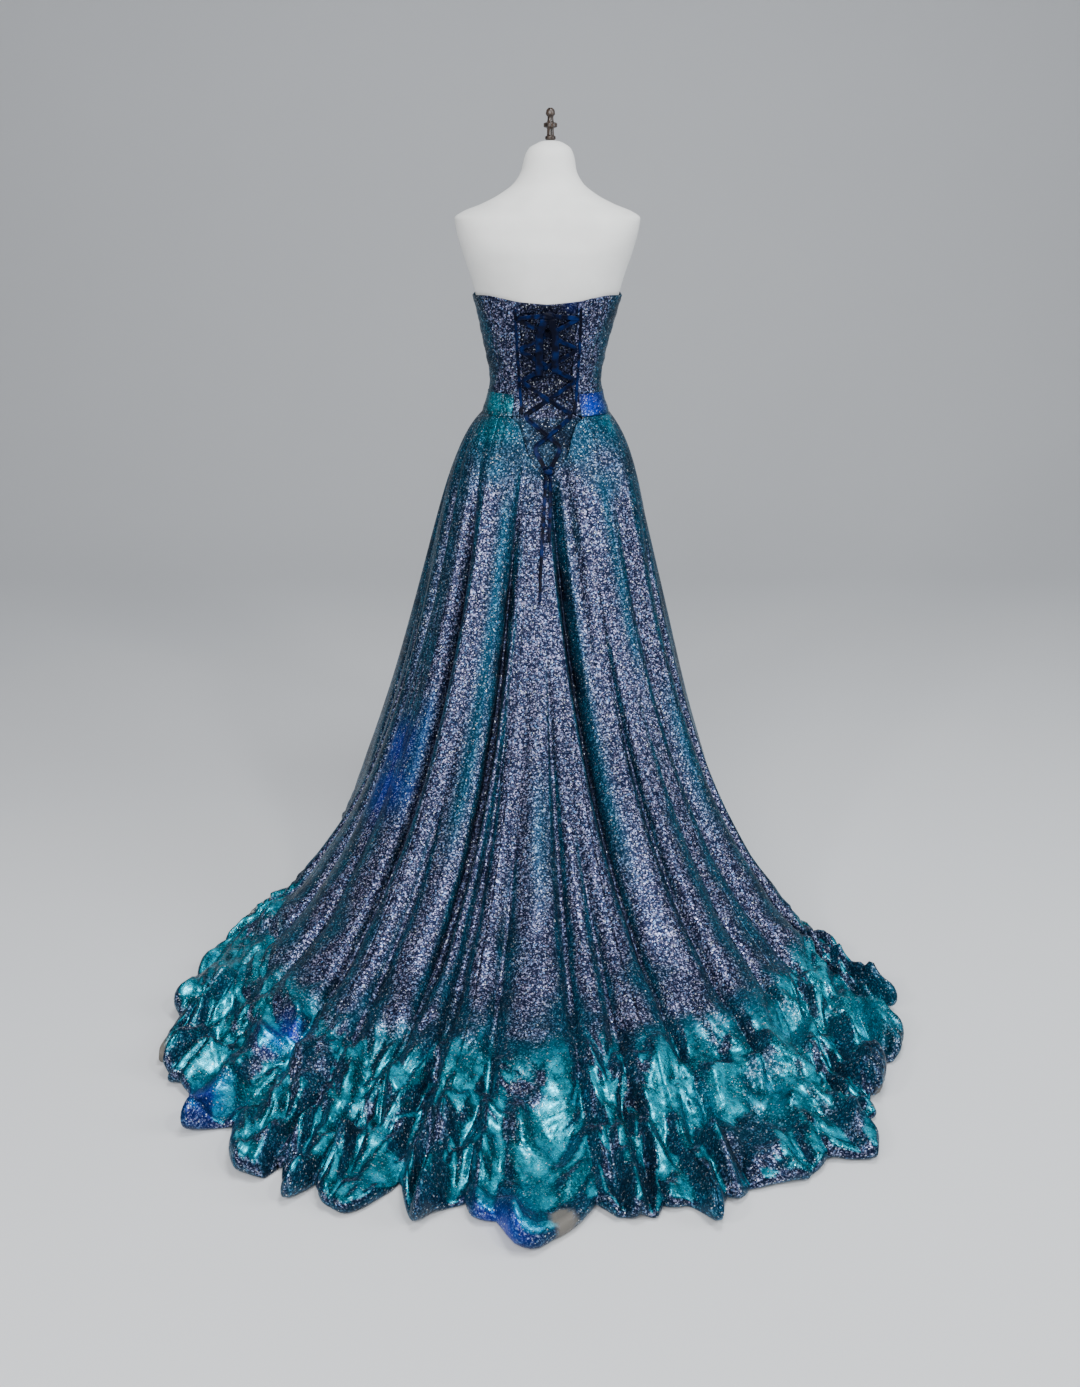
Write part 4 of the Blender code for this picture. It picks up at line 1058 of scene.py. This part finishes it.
def turnedHem(grid, t):
    # How much lining shows from 0 to 1: a sharp-edged spot at each place, at the hem only.
    share = np.zeros(t.shape)
    for spot in named(turnedUp):
        away = np.sqrt(((grid - [spot["x"], spot["y"], spot["z"]]) ** 2).sum(-1))
        share = np.maximum(share, ease((spot["reach"] - away) / turnedUp["edge"]))
    share = share * rise(t, turnedUp["span"])
    return np.stack([share, 0 * share, 0 * share], -1)


def makeSkirt():
    # The ring of cloth cut into its gores, each a shell with the lining inside.
    grid, normals, s, valley, t = skirtRing()
    each = skirt["columnsPerFold"]
    total = grid.shape[1]
    tints = clothTints(grid, normals, valley, rise(t, skirt["colourSpan"]))
    addStripes(tints, grid, s)
    tints["hem"] = turnedHem(grid, t)
    for node, (first, last) in gores.items():
        pick = (np.arange(first * each, last * each + 1) + each // 2) % total
        piece = apartAtSeams(grid[:, pick], skirt["seamGap"])
        picked = {name: values[:, pick] for name, values in tints.items()}
        faces = [looks["glitter"], looks["lining"]]
        made = clothShell(node + "_cloth", piece, normals[:, pick], skirt["wall"], faces, picked)
        finish(made, node)
    return grid


skirtCloth = makeSkirt()
print("skirt made")


# The bodice: seams in degrees round from the centre back, and its upper edge
bodice = {
    "columns": ("name", "firstTop", "firstBottom", "lastTop", "lastBottom"),
    "rows": (
        ("bodice_back_left", 27.6, 33.0, 58.0, 58.0),
        ("bodice_side_back_left", 58.0, 58.0, 90.0, 90.0),
        ("bodice_side_front_left", 90.0, 90.0, 147.0, 150.0),
        ("bodice_front", 147.0, 150.0, 213.0, 210.0),
        ("bodice_side_front_right", 213.0, 210.0, 270.0, 270.0),
        ("bodice_side_back_right", 270.0, 270.0, 302.0, 302.0),
        ("bodice_back_right", 302.0, 302.0, 328.2, 322.0),
    ),
    "edgeColumns": ("round", "z"),
    "edge": (
        (0.0, 1.272),
        (30.0, 1.277),
        (60.0, 1.288),
        (90.0, 1.284),
        (120.0, 1.306),
        (150.0, 1.334),
        (180.0, 1.302),
        (210.0, 1.334),
        (240.0, 1.306),
        (270.0, 1.284),
        (300.0, 1.288),
        (330.0, 1.277),
        (360.0, 1.272),
    ),
    "bottom": 1.043,
    "lift": 0.0062,
    "wall": 0.0020,
    "levels": 90,
    "degreesAColumn": 1.4,
    "dark": 0.30,
    "puckers": ((0.031, 90.0, 0.4, 0.0005), (0.013, 84.0, 1.7, 0.0002), (0.047, 35.0, 2.2, 0.0004)),
}


def topEdge(degrees):
    # The height of the bodice's upper edge.
    return tableCurve(degrees, bodice["edge"], bodice["edgeColumns"], "z")


stitching = {
    "gap": 0.0003,
    "seamPress": 0.0007,
    "seamWide": 0.0022,
    "edgePress": 0.0005,
    "edgeWide": 0.0016,
    "edgeIn": 0.006,
}


def panelGrid(piece, first, last, top, columns):
    # A piece between two seams: even steps round the form and down it. It is lifted by the
    # puckers, and pressed in at its seams and edges by bell curves across the line of stitching.
    v = np.linspace(0, 1, piece["levels"])[:, None]
    u = np.linspace(1, 0, columns)[None, :]
    left = first[0] + (first[1] - first[0]) * v
    right = last[0] + (last[1] - last[0]) * v
    degrees = left + (right - left) * u
    high = top(degrees)
    z = high + (piece["bottom"] - high) * v
    pucker = ripple(np.radians(degrees) * form["meanRadius"], z, piece["puckers"])
    seam = np.minimum(u, 1 - u) * np.radians(right - left) * form["meanRadius"]
    edge = np.minimum(high - z, z - piece["bottom"]) - stitching["edgeIn"]
    press = stitching["seamPress"] * np.exp(-((seam / stitching["seamWide"]) ** 2))
    press = press + stitching["edgePress"] * np.exp(-((edge / stitching["edgeWide"]) ** 2))
    return formPoint(fromBack(degrees), z, piece["lift"] + pucker - press)


def makePanel(node, grid, wall, valley, ends=()):
    # A shell of cloth round a grid, with its colours.
    normals = levelRows(gridNormals(grid), (0, -1))
    tints = clothTints(grid, normals, valley + np.zeros(grid.shape[:2]), 0.0, ends)
    drawn = apartAtSeams(grid, stitching["gap"])
    made = clothShell(node + "_cloth", drawn, normals, wall, [looks["glitter"]], tints)
    finish(made, node)


def makeBodice():
    # The seven panels, each between two seams that slant from top to bottom.
    for panel in named(bodice):
        wide = panel["lastTop"] - panel["firstTop"]
        first = (panel["firstTop"], panel["firstBottom"])
        last = (panel["lastTop"], panel["lastBottom"])
        grid = panelGrid(bodice, first, last, topEdge, round(wide / bodice["degreesAColumn"]) + 2)
        makePanel(panel["name"], grid, bodice["wall"], bodice["dark"])


makeBodice()


band = {
    "first": 40.0,
    "last": 317.5,
    "top": 1.087,
    "bottom": 1.041,
    "lift": 0.0093,
    "wall": 0.0020,
    "levels": 26,
    "columns": 190,
    "dark": 0.20,
    "puckers": ((0.024, 87.0, 0.9, 0.0003), (0.060, 80.0, 2.0, 0.0006)),
    "ends": (
        (0.105, -0.060, 1.064, 0.034, 1.0, 0.0),
        (-0.108, -0.055, 1.064, 0.040, 0.0, 0.85),
        (-0.080, -0.080, 1.064, 0.022, 0.0, 0.9),
    ),
}


def makeBand():
    # The waistband, from one side of the lacing round to the other.
    first = (band["first"], band["first"])
    last = (band["last"], band["last"])
    grid = panelGrid(band, first, last, lambda degrees: band["top"] + 0 * degrees, band["columns"])
    makePanel("waistband", grid, band["wall"], band["dark"], band["ends"])


makeBand()


modesty = {
    "topHalf": 46.0,
    "bottomHalf": 14.0,
    "narrowing": 8.0,
    "bottom": 0.895,
    "lift": 0.0024,
    "wall": 0.0014,
    "rows": 90,
    "columns": 50,
    "wrinkles": ((0.040, 20.0, 0.3, 0.0005), (0.027, 160.0, 1.2, 0.0003)),
    "dark": 0.88,
    "lighterBelow": 0.15,
    "lighterFrom": 1.10,
    "lighterOver": 0.05,
}


def makeModesty():
    # The panel under the lacing, which narrows as a high power of the way down.
    v = np.linspace(0, 1, modesty["rows"])[:, None]
    u = np.linspace(1, -1, modesty["columns"])[None, :]
    narrower = (modesty["bottomHalf"] - modesty["topHalf"]) * v ** modesty["narrowing"]
    degrees = (modesty["topHalf"] + narrower) * u
    top = topEdge(np.abs(degrees))
    z = top + (modesty["bottom"] - top) * v
    wrinkle = ripple(np.radians(degrees) * form["meanRadius"], z, modesty["wrinkles"])
    grid = formPoint(fromBack(degrees), z, modesty["lift"] + wrinkle)
    below = ease((modesty["lighterFrom"] - grid[..., 2]) / modesty["lighterOver"])
    dark = modesty["dark"] - modesty["lighterBelow"] * below
    makePanel("modesty_panel", grid, modesty["wall"], dark)


makeModesty()
print("bodice, waistband and modesty panel made")


# The lacing: each row's height and the two edges it turns round, as distances across the back
lacing = {
    "columns": ("z", "left", "right"),
    "rows": (
        (1.244, -0.059, 0.070),
        (1.180, -0.056, 0.068),
        (1.115, -0.052, 0.064),
        (1.045, -0.046, 0.058),
        (0.982, -0.025, 0.033),
    ),
    "endX": 0.006,
    "endZ": 0.9388,
    "step": 0.0035,
    "across": 7,
    "cornerSteps": 9,
    "topSteps": 24,
    "tapeSteps": 60,
    "tapeAbove": 0.02,
    "tapeBelow": 0.004,
    "gap": 0.0003,
    "cup": 0.0003,
    "topCup": 0.0004,
    "width": 0.009,
    "wall": 0.0008,
    "turn": 0.012,
    "lift": 0.0098,
    "over": 0.0034,
    "overSpread": 0.026,
    "knotX": 0.005,
    "tapeLift": 0.0087,
    "tapeWidth": 0.006,
    "tapeOutside": 0.003,
}
bow = {
    "z": 1.250,
    "size": (0.024, 0.013, 0.015),
    "lift": 0.0165,
    "loopLift": 0.0185,
    "tuck": 0.002,
    "steps": 40,
    "bend": (75, 13),
    "spread": 0.03,
    "cup": 0.0005,
    "straight": 0.004,
    "turn": 0.003,
    "columns": ("name", "x", "low", "width"),
    "rows": (("bow_loop_left", -0.013, 1.126, 0.016), ("bow_loop_right", 0.020, 1.131, 0.015)),
}
lowerKnot = {"z": 0.9320, "size": (0.019, 0.010, 0.012), "lift": 0.0125}
knots = {"levels": 26, "sides": 48, "ridge": 0.05}


def makeRibbon(node, path, side, width, cup=0.0):
    # A flat ribbon along a path, bent across by the cup times the square of the way to its edge.
    along = unit(np.gradient(path, axis=0))
    across = unit(side - along * np.sum(side * along, axis=1, keepdims=True))
    out = np.cross(across, along)
    share = np.linspace(0.5, -0.5, lacing["across"])
    grid = path[:, None] + across[:, None] * (share * width)[None, :, None]
    grid = grid - out[:, None] * (cup * (2 * share) ** 2)[None, :, None]
    normals = np.repeat(out[:, None], len(share), axis=1)
    made = clothShell(node + "_ribbon", grid, normals, lacing["wall"], [looks["navySatin"]])
    finish(made, node)


def layRibbon(node, x, z, lift, width, cup=0.0):
    # A ribbon laid on the form's back, square to the way out of it.
    points, out = backPoint(x, z, lift)
    makeRibbon(node, points, np.cross(out, np.gradient(points, axis=0)), width, cup)


def rounded(corners, cut):
    # A zigzag whose corners are cut off by parabolas.
    path = [corners[0]]
    for before, corner, after in zip(corners, corners[1:], corners[2:]):
        first = corner + unit(before - corner) * cut
        last = corner + unit(after - corner) * cut
        for u in np.linspace(0, 1, lacing["cornerSteps"]):
            path.append((1 - u) ** 2 * first + 2 * u * (1 - u) * corner + u**2 * last)
    path.append(corners[-1])
    return np.array(path)


def filled(path, step):
    # The same path with points about a step apart.
    far = np.concatenate([[0], np.cumsum(np.linalg.norm(np.diff(path, axis=0), axis=1))])
    at = np.linspace(0, far[-1], max(2, round(far[-1] / step) + 1))
    return np.column_stack([np.interp(at, far, path[:, k]) for k in range(path.shape[1])])


def makeLacing():
    # The two crossing laces, the ends that run up to the bow, and the tapes they pass through.
    for node, startsLeft, over in (("lace_over", True, 1.0), ("lace_under", False, 0.0)):
        corners = []
        for i, (z, left, right) in enumerate(lacing["rows"]):
            corners.append((left if (i % 2 == 0) == startsLeft else right, z))
        ends = -lacing["endX"] if startsLeft else lacing["endX"]
        corners.append((lacing["knotX"] + ends, lacing["endZ"]))
        path = filled(rounded(np.array(corners), lacing["turn"]), lacing["step"])
        middle = (path[:, 0] - lacing["knotX"]) / lacing["overSpread"]
        lift = lacing["lift"] + over * lacing["over"] * np.exp(-(middle**2))
        layRibbon(node, path[:, 0], path[:, 1], lift, lacing["width"], lacing["cup"])
    top = lacing["rows"][0]
    for node, edge, sign in (("lace_top_left", 1, -1), ("lace_top_right", 2, 1)):
        end = lacing["knotX"] + sign * (bow["size"][0] / 2 - bow["tuck"])
        start = (top[edge], top[0], lacing["lift"] + lacing["wall"] + lacing["gap"])
        x, z, lift = np.linspace(start, (end, bow["z"], bow["lift"]), lacing["topSteps"]).T
        layRibbon(node, x, z, lift, lacing["width"], lacing["topCup"])
    for node, edge, sign in (("loop_tape_left", "left", -1), ("loop_tape_right", "right", 1)):
        high, low = top[0] + lacing["tapeAbove"], bodice["bottom"] + lacing["tapeBelow"]
        z = np.linspace(high, low, lacing["tapeSteps"])
        x = tableCurve(z, lacing["rows"][::-1], lacing["columns"], edge)
        x = x + sign * lacing["tapeOutside"]
        layRibbon(node, x, z, lacing["tapeLift"], lacing["tapeWidth"])


def makeKnot(node, x, z, size, lift):
    # A wrapped knot: a rounded box of fourth powers, with ridges of ribbon round its middle.
    centre, out = backPoint(np.array(x), np.array(z), lift)
    across = np.array([-out[1], out[0], 0.0])
    up = np.array([0.0, 0.0, 1.0])
    climb = np.linspace(-math.pi / 2, math.pi / 2, knots["levels"])[1:-1, None]
    turn = np.linspace(0, 2 * math.pi, knots["sides"], endpoint=False)[None, :]
    flat = np.cos(climb)
    ways = np.stack([flat * np.cos(turn), flat * np.sin(turn), np.sin(climb) + 0 * turn], -1)
    grow = (np.abs(ways) ** 4).sum(-1, keepdims=True) ** -0.25
    grow = grow * (1 + knots["ridge"] * np.sin(7 * ways[..., 2:] + 4 * ways[..., :1]))
    half = ways * grow * (np.array(size) / 2)
    rings = centre + half[..., :1] * across + half[..., 1:2] * out + half[..., 2:] * up
    made = ringSolid(node + "_ribbon", rings[:, ::-1], [looks["navySatin"]])
    finish(made, node)


def makeBow():
    # Two hanging loops, each down, round a bend and up again, and the two knots.
    makeKnot("bow_knot", lacing["knotX"], bow["z"], bow["size"], bow["lift"])
    top = bow["z"] - bow["size"][2] / 2 + bow["tuck"]
    turn = bow["turn"]
    for loop in named(bow):
        level = top - bow["straight"]
        down = np.concatenate([[top], np.linspace(level, loop["low"] + turn, bow["steps"])])
        sign = 1 if loop["x"] > lacing["knotX"] else -1
        start = lacing["knotX"] + (loop["width"] / 2 + lacing["gap"]) * sign
        xs = start + (loop["x"] - start) * ease((level - down) / bow["spread"])
        near = np.column_stack([xs, down, np.full(len(down), bow["loopLift"] - turn)])
        most, count = bow["bend"]
        angles = np.radians(np.linspace(-most, most, count))
        zs = loop["low"] + turn - turn * np.cos(angles)
        bend = np.column_stack([np.full(count, loop["x"]), zs, bow["loopLift"] + turn * np.sin(angles)])
        back = near[::-1].copy()
        back[:, 2] = bow["loopLift"] + turn
        route = np.concatenate([near, bend, back])
        points, out = backPoint(route[:, 0], route[:, 1], route[:, 2])
        side = np.cross(out, np.array([0.0, 0.0, 1.0]))
        makeRibbon(loop["name"], points, side, loop["width"], bow["cup"])
    knot = lowerKnot
    makeKnot("lower_knot", lacing["knotX"], knot["z"], knot["size"], knot["lift"])


makeLacing()
makeBow()


# The laces' two free ends, from under the lower knot down over the skirt
tails = {
    "width": 0.008,
    "thick": 0.0022,
    "offCloth": 0.0040,
    "near": 0.006,
    "steps": 70,
    "sides": 20,
    "smooth": 2,
    "twist": 26.0,
    "bulb": (0.972, 0.016, 0.0004, 0.0018),
    "columns": ("x", "y", "z"),
    "long": (
        (0.0005, -0.1345, 0.9256),
        (0.0000, -0.1374, 0.9120),
        (-0.0015, -0.1422, 0.8900),
        (-0.0035, -0.1587, 0.8500),
        (-0.0060, -0.1767, 0.8100),
        (-0.0085, -0.1952, 0.7700),
        (-0.0105, -0.2159, 0.7300),
        (-0.0115, -0.2362, 0.6900),
        (-0.0117, -0.2427, 0.6790),
    ),
    "short": (
        (0.0095, -0.1345, 0.9256),
        (0.0102, -0.1374, 0.9120),
        (0.0105, -0.1410, 0.8900),
        (0.0098, -0.1572, 0.8500),
        (0.0082, -0.1747, 0.8100),
        (0.0075, -0.1827, 0.7930),
    ),
}


def clothBehind(x, z):
    # The furthest back that the skirt's cloth reaches near this place.
    beside = np.abs(skirtCloth[..., 0] - x) < tails["near"]
    near = skirtCloth[beside & (np.abs(skirtCloth[..., 2] - z) < tails["near"])]
    return near[:, 1].min() if len(near) else 0.0


def makeTail(node, rows, endKnot):
    # A free end: a flattened tube, turned a little as it falls, ending in a small knot.
    heights = column(rows, tails["columns"], "z")[::-1]
    z = np.linspace(heights[-1], heights[0], tails["steps"])
    x = smoothCurve(z, heights, column(rows, tails["columns"], "x")[::-1])
    y = smoothCurve(z, heights, column(rows, tails["columns"], "y")[::-1])
    y = np.array([min(b, clothBehind(a, c) - tails["offCloth"]) for a, b, c in zip(x, y, z)])
    k = tails["smooth"]
    y[k:-k] = sum(np.roll(y, shift) for shift in range(-k, k + 1))[k:-k] / (2 * k + 1)
    path = np.column_stack([x, y, z])
    along = unit(np.gradient(path, axis=0))
    side = unit(np.cross(np.array([0.0, -1.0, 0.0]), along))
    out = np.cross(along, side)
    far = np.linspace(0, 1, len(z))
    twist = np.radians(tails["twist"] * np.sin(2 * math.pi * (1.6 * far + 0.1)))[:, None]
    wide = side * np.cos(twist) + out * np.sin(twist)
    thin = out * np.cos(twist) - side * np.sin(twist)
    place, reach, wider, thicker = tails["bulb"]
    bulb = np.exp(-(((far - place) / reach) ** 2)) if endKnot else 0 * far
    halfWidth = tails["width"] / 2 * (1 - 0.12 * np.sin(9 * far) ** 2) + wider * bulb
    halfThick = tails["thick"] / 2 + thicker * bulb
    close = np.clip(np.minimum(far, 1 - far) / 0.006, 0.35, 1)
    around = np.linspace(0, 2 * math.pi, tails["sides"], endpoint=False)
    rings = path[:, None]
    rings = rings + wide[:, None] * (np.cos(around)[None, :] * (halfWidth * close)[:, None])[..., None]
    rings = rings + thin[:, None] * (np.sin(around)[None, :] * (halfThick * close)[:, None])[..., None]
    made = ringSolid(node + "_ribbon", rings, [looks["navySatin"]])
    finish(made, node)


makeTail("lace_tail_long", tails["long"], True)
makeTail("lace_tail_short", tails["short"], False)
print("lacing, bow and free ends made")


def makeForm():
    # The dress form: rings from its closed foot to its neck, the ends rounded off.
    evenly = np.linspace(form["bottom"] + form["footRise"], form["top"], form["rings"])
    z = np.concatenate([[form["bottom"]], evenly])[:, None]
    angle = np.linspace(0, 2 * math.pi, form["sides"], endpoint=False)[None, :]
    rings = formPoint(angle + 0 * z, z + 0 * angle)
    crown = rings[-1].mean(0)
    cap = [crown + (rings[-1] - crown) * share + [0, 0, up] for share, up in form["cap"]]
    foot = rings[0].mean(0)
    sole = [foot + (rings[0] - foot) * share for share in form["sole"]]
    rings = np.concatenate([sole, rings, cap])
    finish(ringSolid("form_torso_jersey", rings, [looks["whiteJersey"]]), "form_torso")


def makeTurned(name, node, profile, place, sides, look):
    # A turned piece: a profile of height and radius spun round.
    angle = np.linspace(0, 2 * math.pi, sides, endpoint=False)
    rings = [
        np.column_stack([radius * np.cos(angle), radius * np.sin(angle), np.full(sides, height)])
        for height, radius in profile
    ]
    finish(ringSolid(name, np.stack(rings) + np.array(place), [looks[look]]), node)


stand = {
    "finial": (
        (0.0003, 0.009),
        (0.003, 0.011),
        (0.007, 0.011),
        (0.010, 0.0075),
        (0.022, 0.007),
        (0.026, 0.014),
        (0.032, 0.014),
        (0.036, 0.007),
        (0.044, 0.006),
        (0.050, 0.0095),
        (0.057, 0.0085),
        (0.062, 0.004),
    ),
    "neck": (0.0100, 0.017, 1.588),
    "baseRadius": 0.17,
    "baseHeight": 0.014,
    "rim": 0.003,
    "poleRadius": 0.016,
    "poleY": 0.01,
    "poleCut": 0.0004,
    "gap": 0.0003,
    "finialSteps": 90,
    "rimSteps": 7,
    "tip": 0.0022,
    "sides": (48, 64, 128),
}


def makeStand():
    # The finial, the pole and the round base with its rounded rim.
    heights, radii = np.array(stand["finial"]).T
    fine = np.linspace(heights[0], heights[-1], stand["finialSteps"])
    profile = list(zip(fine, smoothCurve(fine, heights, radii)))
    profile.append((heights[-1], stand["tip"]))
    few, some, many = stand["sides"]
    makeTurned("form_finial_wood", "form_finial", profile, stand["neck"], few, "darkWood")
    low, high = stand["baseHeight"] + stand["gap"], form["bottom"] - stand["gap"]
    cut, radius = stand["poleCut"], stand["poleRadius"]
    pole = [(low, radius - cut), (low + cut, radius), (high - cut, radius), (high, radius - cut)]
    at = (0.0, stand["poleY"], 0.0)
    makeTurned("stand_pole_paint", "stand_pole", pole, at, some, "blackPaint")
    turn = np.radians(np.linspace(0, 90, stand["rimSteps"]))
    rim, radius, tall = stand["rim"], stand["baseRadius"], stand["baseHeight"]
    lower = [(rim * (1 - math.sin(a)), radius - rim * (1 - math.cos(a))) for a in turn[::-1]]
    upper = [(tall - rim * (1 - math.sin(a)), radius - rim * (1 - math.cos(a))) for a in turn]
    base, at = lower + upper, (0.0, 0.0, 0.0)
    makeTurned("stand_base_paint", "stand_base", base, at, many, "blackPaint")


makeForm()
makeStand()
print("dress form and stand made")


studio = {
    "floorSize": 30.0,
    "backdropY": 4.5,
    "backdropTop": 12.0,
    "bendRadius": 2,
    "bendSteps": 16,
    "below": 0.0005,
    "world": (0.62, 0.65, 0.70),
    "worldStrength": 0.32,
    "lights": (
        ("front", (-0.6, -4.2, 2.9), (0.0, -0.3, 0.7), 2.4, 125.0, (1.0, 1.0, 1.0)),
        ("right", (3.4, -1.6, 2.4), (0.0, -0.3, 0.6), 1.8, 55.0, (0.92, 0.97, 1.0)),
        ("top", (0.5, -1.0, 4.2), (0.0, -0.8, 0.1), 1.2, 80.0, (0.95, 0.98, 1.0)),
        ("streak left", (-2.2, -3.0, 2.6), (-0.2, -0.9, 0.1), 0.4, 30.0, (1.0, 1.0, 1.0)),
        ("streak right", (1.8, -2.6, 3.2), (0.2, -0.9, 0.1), 0.4, 30.0, (1.0, 1.0, 1.0)),
    ),
}


def makeStudio():
    # A pale floor that curves up into a backdrop, a pale sky and soft square lights.
    half = studio["floorSize"] / 2
    bend = np.radians(np.linspace(0, 90, studio["bendSteps"]))
    back, radius = studio["backdropY"], studio["bendRadius"]
    ys = np.concatenate([[-half], back - radius + radius * np.sin(bend), [back]])
    zs = np.concatenate([[0], radius - radius * np.cos(bend), [studio["backdropTop"]]]) - studio["below"]
    rows = np.array([[(-half, y, z), (half, y, z)] for y, z in zip(ys, zs)])
    index = np.arange(len(rows) * 2).reshape(-1, 2)
    faces = np.column_stack([index[:-1, 0], index[:-1, 1], index[1:, 1], index[1:, 0]])
    paper = makeMesh("studio_paper", rows.reshape(-1, 3), [faces], [looks["studioPaper"]])
    for name, where, aim, size, power, tone in studio["lights"]:
        data = bpy.data.lights.new(name, "AREA")
        data.shape = "SQUARE"
        data.size = size
        data.energy = power
        data.color = tone
        light = addObject(name, data)
        aimAt(light, where, aim)
    world = bpy.data.worlds.new("studio_sky")
    world.use_nodes = True
    sky = world.node_tree.nodes["Background"]
    sky.inputs["Color"].default_value = (*studio["world"], 1.0)
    sky.inputs["Strength"].default_value = studio["worldStrength"]
    bpy.context.scene.world = world


makeStudio()
